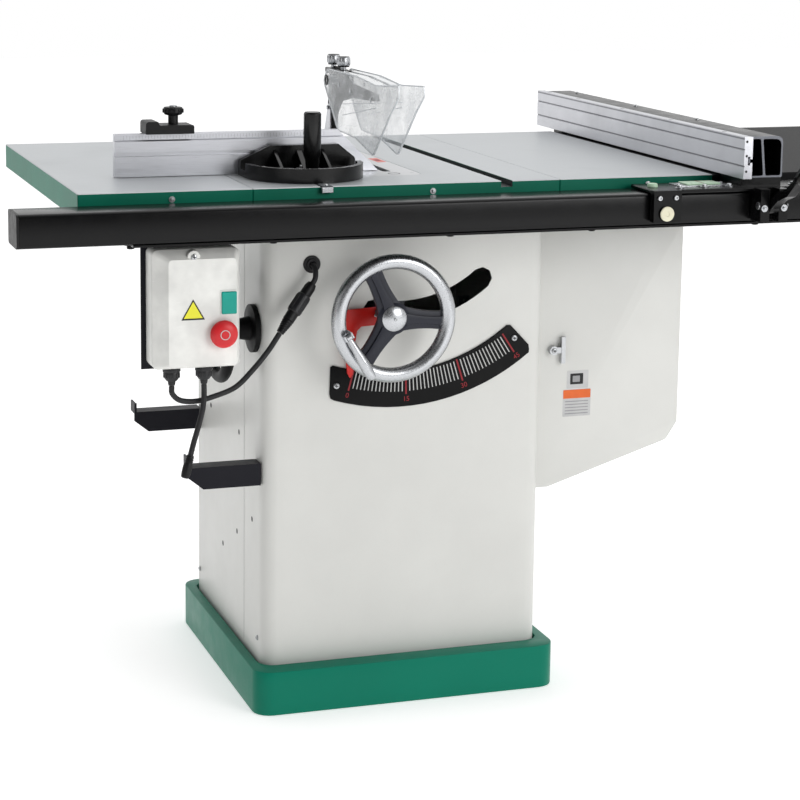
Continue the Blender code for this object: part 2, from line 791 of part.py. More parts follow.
def make_wheel_handle(wheel, centre):
    """Cranked handle on a forked hinge, folded flat across the rim."""
    pin = centre + Vector((HANDLE_PIN_X, -HANDLE_FORWARD, HANDLE_PIN_Z))
    grip_way = Vector((math.sin(HANDLE_LEAN), 0, -math.cos(HANDLE_LEAN)))
    hinge_way = Vector((math.cos(HANDLE_LEAN), 0, math.sin(HANDLE_LEAN)))
    profile = [(0.004, 0.080), (0.0075, 0.076), (0.0088, 0.056), (0.0062, 0.024), (0.0036, 0.0)]
    handle = cylinder(
        "height_wheel_handle",
        pin - hinge_way * 0.0045,
        pin + hinge_way * 0.0045,
        0.0062,
        STEEL,
        sides=16,
    )
    hinge_pin = cylinder(
        "join_handle_pin",
        pin - hinge_way * 0.0078,
        pin + hinge_way * 0.0078,
        0.0024,
        sides=12,
    )
    join(handle, hinge_pin, revolve("join_handle_grip", profile, pin, grip_way, steps=12))
    set_origin(handle, pin)
    for side in (-1, 1):
        ear = box(
            f"join_handle_ear_{side}",
            (-0.0015, -0.0045, -0.0052),
            (0.0015, HANDLE_FORWARD - 0.003, 0.0052),
        )
        ear.matrix_world = Matrix.Translation(pin + hinge_way * side * 0.0063) @ Matrix.Rotation(
            -HANDLE_LEAN,
            4,
            "Y",
        )
        join(wheel, ear)
    bore = pin - hinge_way * 0.009
    cut(wheel, cylinder("cut_handle_bore", bore, pin + hinge_way * 0.009, 0.0024 + GAP, sides=12))


def make_tilt_drive():
    y, z = TILT_SHAFT_Y, TILT_AXIS_Z
    wheel = make_handwheel(
        "tilt_handwheel",
        Vector((TILT_WHEEL_X, y, z)),
        (-1, 0, 0),
        TILT_WHEEL_RADIUS,
        BLACK,
        90,
        20,
    )
    shaft = cylinder("join_tilt_shaft", (TILT_WHEEL_X - 0.004, y, z), (0.020, y, z), WORM_CORE, sides=16)
    join(
        wheel,
        shaft,
        cylinder(
            "join_tilt_key",
            (TILT_WHEEL_X - 0.004, y, z),
            (TILT_WHEEL_X + 0.018, y, z),
            0.010,
            sides=16,
        ),
    )
    join(wheel, worm_thread("join_tilt_thread", (1, 0, 0), (BLADE_X, y, z), 2.4))
    left = -CABINET_HALF_WIDTH - GAP
    profile = [
        (0.0082, 0.030), (0.016, 0.030), (0.020, 0.010), (0.039, 0.008), (0.039, 0.0),
        (0.0082, 0.0),
    ]
    ring("tilt_flange", profile, (left, y, z), (-1, 0, 0), BLACK, 24)


# ---------------------------------------------------------------- arbor arm, motor and blade
def make_arm():
    axis = (ARM_PIVOT.y, ARM_PIVOT.z)
    arbor = (ARM_PIVOT.y - ARM_LENGTH, ARM_PIVOT.z)
    motor = (MOTOR_CENTRE.y, MOTOR_CENTRE.z)
    body = [(axis[0] + 0.026, axis[1] + 0.004), (axis[0] + 0.006, axis[1] + 0.026)]
    body += [
        (arbor[0], arbor[1] + 0.030), (arbor[0] - 0.030, arbor[1] + 0.006),
        (arbor[0] - 0.026, arbor[1] - 0.05),
    ]
    body += [(motor[0] - 0.062, motor[1] + 0.03), (motor[0] - 0.055, motor[1] - 0.045)]
    body += [
        (motor[0] + 0.050, motor[1] - 0.045), (motor[0] + 0.066, motor[1] + 0.05),
        (axis[0] - 0.02, axis[1] - 0.06),
    ]
    window = rounded([(0.010, 0.70), (0.075, 0.71), (0.060, 0.60), (0.012, 0.585)], 0.012, 3)
    arm = plate("arbor_arm", [rounded(body, 0.012, 3), window], "YZ", -0.0955, -0.0835, IRON)
    tip = (ARM_PIVOT.z - HEIGHT_AXIS_Z) - WORM_CREST + MESH_DEPTH
    step = math.degrees(WORM_PITCH / (tip - MESH_DEPTH / 2))
    contact = -math.degrees(ARM_REST)
    first = contact - step * 1.5
    count = 9
    teeth = toothed_arc(axis, tip, 0.0045, step, first, count)
    last = first + step * (count - 1)
    sector = teeth + arc(axis, 0.055, last - 6, last - 6, 1)[:1] + arc(axis, 0.018, 80, -80, 6)
    sector += arc(axis, 0.055, first + 6, first + 6, 1)[:1]
    join(
        arm,
        plate("join_sector", [sector], "YZ", -0.053, -0.037),
        cylinder("join_arm_tube", (-0.100, *axis), (-0.0365, *axis), 0.0195, sides=20),
        cylinder("join_arbor_housing", (-0.106, *arbor), (-0.0305, *arbor), 0.0255, sides=22),
    )
    cut(
        arm,
        cylinder("cut_arm_bore", (-0.12, *axis), (-0.02, *axis), 0.0106, sides=16),
        cylinder("cut_arbor_bore", (-0.12, *arbor), (-0.02, *arbor), 0.0125, sides=18),
        cylinder("cut_motor_bore", (-0.12, *motor), (-0.05, *motor), 0.0165, sides=16),
    )
    set_origin(arm, ARM_PIVOT)


def make_arbor():
    y, z = ARM_PIVOT.y - ARM_LENGTH, ARM_PIVOT.z
    shaft = cylinder("arbor", (-0.134, y, z), (0.008, y, z), 0.0079, STEEL, sides=14)
    join(
        shaft,
        cylinder("join_journal", (-0.112, y, z), (-0.026, y, z), 0.0120, sides=18),
        revolve(
            "join_flange",
            [(0.016, 0.0), (0.028, 0.013), (0.028, 0.0173)],
            (-0.0285, y, z),
            (1, 0, 0),
            steps=18,
        ),
    )
    set_origin(shaft, (0, y, z))
    nut = plate(
        "arbor_nut",
        [circle((y, z), 0.0135, 6), circle((y, z), 0.0086, 12)],
        "YZ",
        -0.0048,
        0.0070,
        STEEL,
    )
    washer = plate(
        "join_washer",
        [circle((y, z), 0.027, 20), circle((y, z), 0.0086, 12)],
        "YZ",
        -0.0086,
        -0.0045,
    )
    join(nut, washer)
    set_origin(nut, (0, y, z))
    make_blade(y, z)
    make_pulley("arbor_pulley", (y, z), 0.027, 0.0082)


def make_blade(y, z):
    """Toothed disc: hooked faces, round-backed gullets and five expansion slots."""
    outline = []
    pitch = 360 / TOOTH_COUNT
    gullet = BLADE_RADIUS - 0.0105
    shape = ((0.00, BLADE_RADIUS), (0.32, BLADE_RADIUS - 0.0016), (0.55, gullet), (0.82, gullet + 0.0008))
    for k in range(TOOTH_COUNT):
        for share, radius in shape:
            angle = math.radians(pitch * (k + share))
            outline.append((y + radius * math.sin(angle), z - radius * math.cos(angle)))
    bore = circle((y, z), 0.0083, 16)
    blade = plate("saw_blade", [outline, bore], "YZ", BLADE_X - BLADE_PLATE, BLADE_X + BLADE_PLATE, STEEL)
    for k in range(5):
        slot = box(
            f"cut_expansion_{k}",
            (BLADE_X - 0.01, -0.0006, -0.125),
            (BLADE_X + 0.01, 0.0006, -0.097),
        )
        slot.matrix_world = Matrix.Translation((0, y, z)) @ Matrix.Rotation(
            math.radians(72 * k + 5.4),
            4,
            "X",
        )
        cut(blade, slot)
    set_origin(blade, (0, y, z))
    return blade


def make_pulley(name, centre, radius, bore):
    """Flanged pulley turned with three vee grooves."""
    profile = [(bore, -0.012), (radius + 0.002, -0.012), (radius + 0.002, -0.010)]
    for k in range(3):
        left = -0.0085 + k * 0.0057
        profile += [(radius, left), (radius - 0.0035, left + 0.0028)]
    profile += [(radius, 0.0085), (radius + 0.002, 0.010), (radius + 0.002, 0.012), (bore, 0.012)]
    pulley = ring(name, profile, (PULLEY_X, *centre), (1, 0, 0), IRON, 16)
    set_origin(pulley, (0, *centre))
    return pulley


def make_motor():
    y, z = MOTOR_CENTRE.y, MOTOR_CENTRE.z
    start, end = -0.0832, 0.142
    finned = []
    for k in range(FIN_COUNT):
        for share, radius in ((0.0, 0.062), (0.36, 0.062), (0.42, 0.0712), (0.58, 0.0712)):
            angle = 360 / FIN_COUNT * (k + share)
            finned += arc((y, z), radius, angle, angle, 1)[:1]
    motor = plate("motor", [finned], "YZ", start + 0.024, end - 0.040, BLACK)
    cowl = revolve(
        "join_cowl",
        [(0.040, 0.045), (0.062, 0.038), (MOTOR_RADIUS, 0.028), (MOTOR_RADIUS, 0.0)],
        (end - 0.045, y, z),
        (1, 0, 0),
        steps=20,
    )
    bell_profile = [(MOTOR_RADIUS, 0.028), (MOTOR_RADIUS, 0.012), (0.052, 0.0)]
    bell = revolve("join_bell", bell_profile, (start, y, z), (1, 0, 0), steps=20)
    join(
        motor,
        cowl,
        bell,
        cylinder("join_motor_shaft", (-0.136, y, z), (start + 0.03, y, z), 0.0079, sides=12),
    )
    terminal = box("join_terminal_box", (0.005, y + 0.058, z - 0.028), (0.075, y + 0.086, z + 0.030))
    bevel(terminal, 0.003, 1)
    join(motor, terminal)
    make_pulley("motor_pulley", (y, z), 0.030, 0.0082)


def make_belt():
    """Flat loop round both pulleys, a hair off their crowns."""
    upper = Vector((ARM_PIVOT.y - ARM_LENGTH, ARM_PIVOT.z))
    lower = Vector((MOTOR_CENTRE.y, MOTOR_CENTRE.z))
    outlines = []
    for lift in (0.0045, 0.0008):
        outlines.append(belt_loop(upper, 0.027 + lift, lower, 0.030 + lift))
    plate("drive_belt", outlines, "YZ", PULLEY_X - 0.0088, PULLEY_X + 0.0088, RUBBER)


def belt_loop(upper, upper_radius, lower, lower_radius):
    line = (upper - lower).normalized()
    side = Vector((-line.y, line.x))
    lean = math.asin((lower_radius - upper_radius) / (upper - lower).length)
    loop = []
    for centre, radius, start in ((upper, upper_radius, -90), (lower, lower_radius, 90)):
        sweep_from = start + math.degrees(lean) * (1 if start < 0 else -1)
        sweep_to = start + 180 + math.degrees(lean) * (-1 if start < 0 else 1)
        for k in range(11):
            a = math.radians(sweep_from + (sweep_to - sweep_from) * k / 10)
            point = centre + radius * (line * math.cos(a) + side * math.sin(a))
            loop.append(tuple(point))
    return loop


def make_raising_group():
    """Everything on the arm is drawn level, then let down to its lowest position."""
    pivot = bpy.data.objects.new("raise_pivot", None)
    bpy.context.scene.collection.objects.link(pivot)
    pivot.location = ARM_PIVOT
    before = set(bpy.data.objects)
    make_arm()
    make_arbor()
    make_motor()
    make_belt()
    bpy.context.view_layer.update()
    for obj in set(bpy.data.objects) - before:
        obj.parent = pivot
        obj.matrix_parent_inverse = pivot.matrix_world.inverted()
    pivot.rotation_euler = (ARM_REST, 0, 0)


# ---------------------------------------------------------------- guard
SHIELD_PIVOT = (0.125, 0.993)


def make_guard():
    post = [(0.150, 0.804), (0.196, 0.804), (0.196, 0.895), (0.176, 1.013), (0.112, 1.017)]
    post += [(0.048, 0.993), (-0.092, 0.9855), (-0.096, 0.9745), (0.046, 0.968), (0.104, 0.958)]
    post += [(0.130, 0.936), (0.150, 0.880)]
    corners = [0.004, 0.004, 0.02, 0.01, 0.02, 0.02, 0.003, 0.003, 0.02, 0.015, 0.02, 0.01]
    outline = rounded(post, corners, 2)
    hole = circle((SHIELD_PIVOT[0], SHIELD_PIVOT[1]), 0.0045, 14)
    hanger = circle((0.158, 0.942), 0.004, 12)
    splitter = plate("splitter", [outline, hole, hanger], "YZ", BLADE_X - 0.0012, BLADE_X + 0.0012, BLACK)
    join(
        splitter,
        box("join_top_bridge", (BLADE_X - 0.010, 0.084, 1.002), (BLADE_X + 0.010, 0.172, 1.0115)),
        cylinder("join_knob_stem_0", (BLADE_X, KNOB_REAR, 1.008), (BLADE_X, KNOB_REAR, 1.019), 0.004, sides=10),
        cylinder("join_knob_stem_1", (BLADE_X, KNOB_FRONT, 1.008), (BLADE_X, KNOB_FRONT, 1.019), 0.004, sides=10),
        cylinder("join_knob_0", (BLADE_X, KNOB_REAR, 1.017), (BLADE_X, KNOB_REAR, 1.0345), 0.010, sides=12),
        cylinder("join_knob_1", (BLADE_X, KNOB_FRONT, 1.017), (BLADE_X, KNOB_FRONT, 1.0345), 0.010, sides=14),
    )
    set_origin(splitter, (BLADE_X, 0, TABLE_TOP))
    make_shield("left_shield", -1)
    make_shield("right_shield", 1)
    make_pawls()


def make_shield(name, side):
    """Clear side shield with a raised nose, hung from a boss on the spreader."""
    outer = BLADE_X + side * SHIELD_OFFSET
    inner = BLADE_X + side * (SHIELD_OFFSET - 0.003)
    outline = [(0.148, 0.990), (0.062, 0.9115), (-0.039, 0.909), (-0.135, 0.890), (-0.223, 0.969)]
    outline += [(-0.260, 0.9965), (-0.259, 1.014), (-0.149, 1.0065), (-0.044, 1.0135), (0.126, 1.0125)]
    shape = rounded(outline, [0.010, 0.02, 0.02, 0.012, 0.03, 0.003, 0.003, 0.02, 0.02, 0.012], 2)
    pin_hole = circle(SHIELD_PIVOT, 0.0042, 14)
    low, high = sorted((outer, inner))
    shield = plate(name, [shape, pin_hole], "YZ", low, high, CLEAR)
    rim_low, rim_high = sorted((inner + side * 0.001, inner - side * 0.015))
    roof = [(-0.140, 1.0030), (-0.044, 1.0095), (0.070, 1.0092), (0.070, 1.0118)]
    roof += [(-0.044, 1.0122), (-0.140, 1.0060)]
    join(shield, plate("join_roof_" + name, [roof], "YZ", rim_low, rim_high))
    y, z = SHIELD_PIVOT
    start = BLADE_X + side * 0.0016
    hub = cylinder("join_hub_" + name, (start, y, z), (inner + side * 0.001, y, z), 0.008, sides=12)
    join(shield, hub)
    set_origin(shield, (outer, y, z))
    return shield


def make_pawls():
    """Two toothed fingers on one pin, trailing on the table behind the blade."""
    y, z = 0.158, 0.942
    pawls = cylinder(
        "kickback_pawls",
        (BLADE_X - 0.012, y, z),
        (BLADE_X + 0.012, y, z),
        0.0036,
        STEEL,
        sides=12,
    )
    low_tip = TABLE_TOP + PAWL_CLEARANCE
    finger = [
        (y - 0.006, z + 0.006), (y + 0.007, z + 0.006), (y + 0.030, z - 0.045),
        (y + 0.030, low_tip),
    ]
    finger += [(y + 0.024, low_tip + 0.007), (y + 0.020, low_tip + 0.001), (y + 0.014, low_tip + 0.009)]
    finger += [(y + 0.009, low_tip + 0.0035), (y - 0.004, z - 0.040)]
    for i, side in enumerate((-1, 1)):
        low, high = sorted((BLADE_X + side * 0.0045, BLADE_X + side * 0.0075))
        join(pawls, plate(f"join_pawl_{i}", [finger], "YZ", low, high))
    set_origin(pawls, (BLADE_X, y, z))


# ---------------------------------------------------------------- motor cover
def make_motor_cover():
    left = CABINET_HALF_WIDTH + GAP
    outline = [
        (left, 0.330), (0.262, 0.330), (0.478, 0.398), (0.498, 0.428), (0.498, 0.772),
        (0.480, 0.790), (left, 0.790),
    ]
    shape = rounded(outline, [0, 0.006, 0.012, 0.012, 0.008, 0.008, 0], 3)
    cover = plate("motor_cover", [shape], "XZ", -0.200, 0.212, CREAM)
    bevel(cover, 0.004, 2, 60)
    inner = [
        (left - 0.02, 0.3325), (0.261, 0.3325), (0.4765, 0.4003), (0.4955, 0.429), (0.4955, 0.771),
        (0.479, 0.7875),
    ]
    inner += [(left - 0.02, 0.7875)]
    cut(
        cover,
        plate(
            "cut_cover_hollow",
            [rounded(inner, [0, 0.004, 0.01, 0.01, 0.006, 0.006, 0], 2)],
            "XZ",
            -0.1975,
            0.2095,
        ),
    )
    set_origin(cover, (left + 0.0005, 0.2125, 0))
    latch = box("cover_latch", (0.2570, -0.2095, 0.5605), (0.2840, -0.2035, 0.5705), STEEL)
    join(
        latch,
        box("join_latch_grip", (0.2775, -0.2105, 0.543), (0.2845, -0.2030, 0.588)),
        cylinder(
            "join_latch_boss",
            (LATCH_X, -0.2003, LATCH_Z),
            (LATCH_X, -0.2110, LATCH_Z),
            0.0075,
            sides=20,
        ),
    )
    set_origin(latch, (LATCH_X, -0.2003, LATCH_Z))


# ---------------------------------------------------------------- switch and leads
BOX_FRONT = -0.345
BOX_BACK = -0.2853


def make_switch():
    mount = [(-0.4505, 0.590), (-0.312, 0.590), (-0.312, 0.7918), (-0.4505, 0.7918)]
    plate("switch_bracket", [mount], "XZ", BOX_BACK + GAP, BOX_BACK + 0.0035, BLACK)
    outline = rectangle((-0.443, 0.597), (-0.307, 0.781), 0.010, 3)
    body = plate("switch_box", [outline], "XZ", BOX_FRONT + 0.018, BOX_BACK, WHITE)
    lid = rectangle((-0.4415, 0.5985), (-0.3085, 0.7795), 0.010, 3)
    cover = plate("join_switch_lid", [lid], "XZ", BOX_FRONT, BOX_FRONT + 0.020)
    bevel(cover, 0.007, 2, 60)
    join(body, cover)
    well = rectangle((START_X - 0.0125, START_Z - 0.018), (START_X + 0.0125, START_Z + 0.018), 0.002, 1)
    cut(
        body,
        plate("cut_start_well", [well], "XZ", BOX_FRONT - 0.01, BOX_FRONT + 0.012),
        cylinder(
            "cut_stop_well",
            (STOP_X, BOX_FRONT - 0.01, STOP_Z),
            (STOP_X, BOX_FRONT + 0.014, STOP_Z),
            0.0125,
            sides=16,
        ),
    )
    low = (START_X - 0.0117, BOX_FRONT - 0.004, START_Z - 0.0172)
    button = box("start_button", low, (START_X + 0.0117, BOX_FRONT + 0.006, START_Z + 0.0172), START)
    bevel(button, 0.0012, 1)
    set_origin(button, (START_X, BOX_FRONT, START_Z))
    head = [(0.0, 0.0245), (0.012, 0.0235), (0.0195, 0.020), (0.0215, 0.0165), (0.0205, 0.013)]
    head += [(0.0115, 0.012), (0.0115, 0.0)]
    stop = revolve("stop_button", head, (STOP_X, BOX_FRONT + 0.006, STOP_Z), (0, -1, 0), RED, 20)
    set_origin(stop, (STOP_X, BOX_FRONT, STOP_Z))


MOTOR_GLAND = Vector((-0.4105, -0.316, 0.5967))
POWER_GLAND = Vector((-0.3600, -0.316, 0.5967))
CONNECTOR_START = Vector((-0.2270, -0.2720, 0.6330))
CONNECTOR_END = Vector((-0.1690, -0.2520, 0.7050))
GROMMET = Vector((-0.161, CABINET_FRONT, 0.731))
LEAD_RADIUS = 0.0043
MOTOR_ROUTE = [
    (-0.4105, -0.3160, 0.5680), (-0.4095, -0.3160, 0.5560), (-0.3960, -0.3120, 0.5440),
    (-0.3700, -0.3065, 0.5400), (-0.3400, -0.3020, 0.5450), (-0.3050, -0.2960, 0.5560),
    (-0.2750, -0.2860, 0.5790), (-0.2480, -0.2780, 0.6060), (-0.2278, -0.2723, 0.6320),
]
POWER_ROUTE = [
    (-0.3600, -0.3160, 0.5680), (-0.3600, -0.3165, 0.5560), (-0.3608, -0.3185, 0.5430),
    (-0.3645, -0.3205, 0.5240), (-0.3710, -0.3225, 0.5020), (-0.3780, -0.3240, 0.4800),
    (-0.3835, -0.3250, 0.4600),
]


def make_glands():
    for name, place in (("motor_lead_gland", MOTOR_GLAND), ("power_lead_gland", POWER_GLAND)):
        profile = [
            (0.0095, 0.0), (0.0095, -0.006), (0.0115, -0.007), (0.0115, -0.014), (0.0075, -0.020),
            (0.0062, -0.0275), (0.0, -0.0275),
        ]
        revolve(name, [(0.0, 0.0)] + profile, place, (0, 0, 1), PLASTIC, 12)


def make_leads():
    tube("motor_lead", smooth_path(MOTOR_ROUTE, 28), LEAD_RADIUS, RUBBER, 2)
    tube("power_lead", smooth_path(POWER_ROUTE, 22), LEAD_RADIUS, RUBBER, 2)
    along = CONNECTOR_END - CONNECTOR_START
    length = along.length
    profile = [(0.0, length), (0.0075, length), (0.0095, length - 0.006), (0.0095, length - 0.022)]
    profile += [
        (0.0115, length - 0.024), (0.0115, length - 0.052), (0.0098, length - 0.054),
        (0.0098, 0.010), (0.0070, 0.0),
    ]
    connector = revolve("motor_lead_connector", profile, CONNECTOR_START, along.normalized(), PLASTIC, 14)
    tail = [CONNECTOR_END - along.normalized() * 0.004, CONNECTOR_END + along.normalized() * 0.008]
    tail += [
        (-0.1615, -0.2455, 0.7215), (-0.161, -0.2380, 0.7285), (-0.161, -0.2250, 0.731),
        (-0.161, -0.2100, 0.731),
    ]
    join(
        connector,
        tube("join_connector_tail", smooth_path(tail, 10), LEAD_RADIUS, resolution=2, as_mesh=True),
    )
    grommet = [
        (0.0051, -0.006), (0.0120, -0.006), (0.0120, 0.0), (0.0142, 0.0003), (0.0138, 0.004),
        (0.0085, 0.006), (0.0051, 0.006),
    ]
    ring("panel_grommet", grommet, GROMMET - Vector((0, GAP, 0)), (0, -1, 0), RUBBER, 16)
    end = Vector(POWER_ROUTE[-1])
    down = (end - Vector(POWER_ROUTE[-2])).normalized()
    plug = [(0.0, 0.036), (0.0070, 0.036), (0.0072, 0.012), (0.0058, 0.0)]
    revolve("power_connector", plug, end + down * GAP, down, PLASTIC, 18)


# ---------------------------------------------------------------- miter gauge
MITER_Y = -0.165
MITER_RADIUS = 0.096
MITER_GRIP_Y = -0.214
MITER_BACK = -0.120
MITER_FENCE_FACE = -0.104


def make_miter_gauge():
    x = SLOT_LEFT_X
    floor = TABLE_TOP - SLOT_DEPTH + 0.0003
    bar = box("miter_bar", (x - 0.0093, -0.300, floor), (x + 0.0093, 0.060, TABLE_TOP - GAP), STEEL)
    bevel(bar, 0.0008, 1)
    pivot = (x, MITER_Y)
    outline = [(x - MITER_RADIUS, MITER_BACK), (x + MITER_RADIUS, MITER_BACK)]
    outline += miter_arc(pivot, MITER_RADIUS)
    base = plate("miter_head", [outline], "XY", TABLE_TOP + GAP, TABLE_TOP + 0.012, PLASTIC)
    slot = long_hole(pivot, MITER_Y - MITER_GRIP_Y, 0.0050, -58, 58, 10)
    wall = [(x - MITER_RADIUS, TABLE_TOP + GAP), (x + MITER_RADIUS, TABLE_TOP + GAP)]
    wall += [(x + MITER_RADIUS, 0.889), (x + 0.067, 0.912), (x - 0.046, 0.912)]
    wall += [(x - MITER_RADIUS, 0.889)]
    upright = plate("join_miter_face", [wall], "XZ", MITER_BACK - 0.018, MITER_BACK)
    rib = plate(
        "join_miter_rib",
        [[(MITER_BACK - 0.016, 0.870), (MITER_BACK - 0.016, 0.906), (MITER_Y - 0.020, 0.874)]],
        "YZ",
        x - 0.004,
        x + 0.004,
    )
    outer, inner = miter_arc(pivot, MITER_RADIUS), miter_arc(pivot, MITER_RADIUS - 0.009)
    rim = plate("join_miter_rim", [outer + inner[::-1]], "XY", TABLE_TOP + 0.004, TABLE_TOP + 0.0235)
    bevel(upright, 0.002, 1)
    join(base, upright, rib, rim)
    cut(base, plate("cut_miter_slot", [slot], "XY", 0.85, 0.90))
    set_origin(base, (x, MITER_Y, TABLE_TOP))
    grip = [
        (0.0, 0.108), (0.0120, 0.108), (0.0140, 0.105), (0.0140, 0.040), (0.0115, 0.036),
        (0.0100, 0.0142), (0.0, 0.0142),
    ]
    handle = revolve(
        "miter_handle",
        grip,
        (x, MITER_GRIP_Y, TABLE_TOP + 0.0003),
        (0, 0, 1),
        PLASTIC,
        18,
    )
    set_origin(handle, (x, MITER_GRIP_Y, TABLE_TOP))
    make_miter_fence()


def miter_arc(pivot, radius):
    """Half circle towards the operator, from the right end to the left."""
    x, y = pivot
    turns = [math.pi * i / 14 for i in range(15)]
    return [(x + radius * math.cos(a), y - radius * math.sin(a)) for a in turns]


def make_miter_fence():
    face = MITER_FENCE_FACE
    back = MITER_BACK + GAP
    low, high = TABLE_TOP + 0.0010, TABLE_TOP + 0.069
    section = [(back, low), (face, low), (face, high), (back + 0.004, high), (back + 0.004, high - 0.010)]
    section += [
        (back, high - 0.012), (back, high - 0.030), (back + 0.006, high - 0.030),
        (back + 0.006, high - 0.036),
    ]
    section += [(back, high - 0.036)]
    fence = plate("miter_fence", [section], "YZ", -0.455, -0.010, ALUMINIUM)
    wedge = [
        (-0.0165, low - 0.002), (0.02, low - 0.002), (0.02, high + 0.01),
        (-0.0165 - (high - low) - 0.012, high + 0.01),
    ]
    cut(fence, plate("cut_fence_end", [wedge], "XZ", -0.2, 0.0))
    set_origin(fence, (SLOT_LEFT_X, MITER_Y, TABLE_TOP))
    make_flip_stop(high)


def make_flip_stop(top):
    """Clamp block on the fence's top edge, with a step, a stop arm and a round knob."""
    face = MITER_FENCE_FACE
    back = MITER_Y + 0.0303
    low_z = top + GAP
    outline = [(-0.408, low_z), (-0.330, low_z), (-0.330, low_z + 0.014), (-0.386, low_z + 0.014)]
    outline += [(-0.388, low_z + 0.020), (-0.408, low_z + 0.020)]
    stop = plate(
        "flip_stop",
        [rounded(outline, [0.001, 0.001, 0.003, 0.003, 0.002, 0.004], 2)],
        "XZ",
        back,
        face + 0.012,
        PLASTIC,
    )
    middle = (back + face) / 2 + 0.004
    knob = revolve(
        "join_stop_knob",
        [
            (0.0, 0.030), (0.0145, 0.029), (0.016, 0.026), (0.016, 0.021), (0.0135, 0.0175),
            (0.008, 0.016), (0.008, 0.0),
        ],
        (-0.3600, middle, low_z + 0.012),
        (0, 0, 1),
        steps=18,
    )
    finger = box(
        "join_stop_finger",
        (-0.406, face + GAP, low_z - 0.046),
        (-0.388, face + 0.0115, low_z + 0.004),
    )
    join(stop, knob, finger)
    set_origin(stop, (SLOT_LEFT_X, MITER_Y, TABLE_TOP))


# ---------------------------------------------------------------- rip fence
def make_rip_fence():
    left = FENCE_LEFT
    right = left + 0.015
    low, high = FENCE_BOTTOM, FENCE_TOP
    face = [(left, low), (right, low), (right, low + 0.026), (right - 0.004, low + 0.026)]
    face += [(right - 0.004, low + 0.022), (right - 0.008, low + 0.022), (right - 0.008, low + 0.036)]
    face += [
        (right - 0.004, low + 0.036), (right - 0.004, low + 0.032), (right, low + 0.032),
        (right, high),
    ]
    face += [(left, high)]
    for level in (0.0475, 0.0205):
        face += [(left, low + level + 0.0013), (left + 0.0014, low + level + 0.0007)]
        face += [(left + 0.0014, low + level - 0.0007), (left, low + level - 0.0013)]
    plate("rip_fence_face", [face], "XZ", FENCE_FRONT - 0.014, FENCE_REAR + 0.006, ALUMINIUM)
    wall = right + GAP
    outer = rounded(
        [(wall, low), (0.586, low), (0.586, high - 0.001), (wall, high - 0.001)],
        [0.001, 0.003, 0.010, 0.001],
        3,
    )
    first = rounded(
        [
            (wall + 0.003, low + 0.003), (0.552, low + 0.003), (0.546, high - 0.005),
            (wall + 0.003, high - 0.005),
        ],
        0.003,
        2,
    )
    second = rounded(
        [(0.556, low + 0.003), (0.583, low + 0.003), (0.583, high - 0.006), (0.550, high - 0.005)],
        [0.003, 0.003, 0.009, 0.003],
        3,
    )
    body = plate("rip_fence_body", [outer, first, second], "XZ", FENCE_FRONT, FENCE_REAR, BLACK)
    join(body, box("join_rear_glide", (0.530, 0.404, 0.8563), (0.580, 0.446, low + 0.002)))
    make_fence_head()


def make_fence_head():
    under = FENCE_BOTTOM - GAP
    shoe = RAIL_TOP + 0.0008
    head = box("fence_head", (0.352, -0.386, shoe), (0.742, -0.300, shoe + 0.006), BLACK)
    bevel(head, 0.0015, 1)
    riser = box("join_head_riser", (0.512, -0.372, shoe + 0.003), (0.584, -0.302, under))
    pads = []
    for i, x in enumerate((0.352, 0.694)):
        pads.append(box(f"join_head_ear_{i}", (x, -0.3905, 0.803), (x + 0.048, -0.3765, shoe + 0.0058)))
    yoke = box("join_head_yoke", (0.530, -0.4100, 0.800), (0.578, -0.3765, shoe + 0.0055))
    join(head, riser, *pads, yoke)
    for i, x in enumerate((0.3735, 0.7155)):
        join(
            head,
            cylinder(f"join_head_disc_{i}", (x, -0.388, 0.817), (x, -0.3945, 0.817), 0.0115, sides=20),
        )
    cut(head, box("cut_yoke_slot", (0.5455, -0.42, 0.79), (0.5625, -0.3870, 0.87)))
    pin = (-0.4020, 0.826)
    join(head, cylinder("join_yoke_pin", (0.535, *pin), (0.575, *pin), 0.0035, sides=12))
    make_cam_lever(pin)


def make_cam_lever(pin):
    """S-shaped lever with an eccentric nose that bears on the rail's front."""
    y, z = pin
    upper = [
        (y - 0.007, z + 0.010), (y - 0.030, z + 0.026), (y - 0.058, z + 0.034),
        (y - 0.090, z + 0.058),
    ]
    lower = [
        (y - 0.094, z + 0.050), (y - 0.062, z + 0.022), (y - 0.034, z + 0.012),
        (y - 0.012, z - 0.004),
    ]
    nose = [
        (y - 0.006, z - 0.012), (y + 0.004, z - 0.012), (y + 0.0075, z - 0.004),
        (y + 0.0065, z + 0.007),
    ]
    outline = rounded(upper + lower + nose, 0.004, 2)
    lever = plate("cam_lever", [outline, circle(pin, 0.0039, 12)], "YZ", 0.5462, 0.5618, BLACK)
    grip = revolve(
        "join_lever_grip",
        [(0.0, 0.062), (0.009, 0.060), (0.013, 0.048), (0.0115, 0.014), (0.008, 0.0), (0.0, 0.0)],
        (0.554, y - 0.086, z + 0.050),
        (0, -0.8, 0.6),
        steps=14,
    )
    join(lever, grip)
    set_origin(lever, (0.554, y, z))


# ---------------------------------------------------------------- build
def build():
    clear_scene()
    make_base()
    make_cabinet()
    make_dust_port()
    make_angle_scale()
    make_storage_brackets()
    make_tables()
    make_extension()
    make_rails()
    make_trunnion_brackets()
    make_cradle()
    make_pointer()
    make_height_drive()
    make_tilt_drive()
    make_raising_group()
    make_guard()
    make_motor_cover()
    make_switch()
    make_glands()
    make_leads()
    make_miter_gauge()
    make_rip_fence()
    bpy.context.view_layer.update()


build()
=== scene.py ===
import math

import bmesh
import bpy
from mathutils import Matrix, Vector


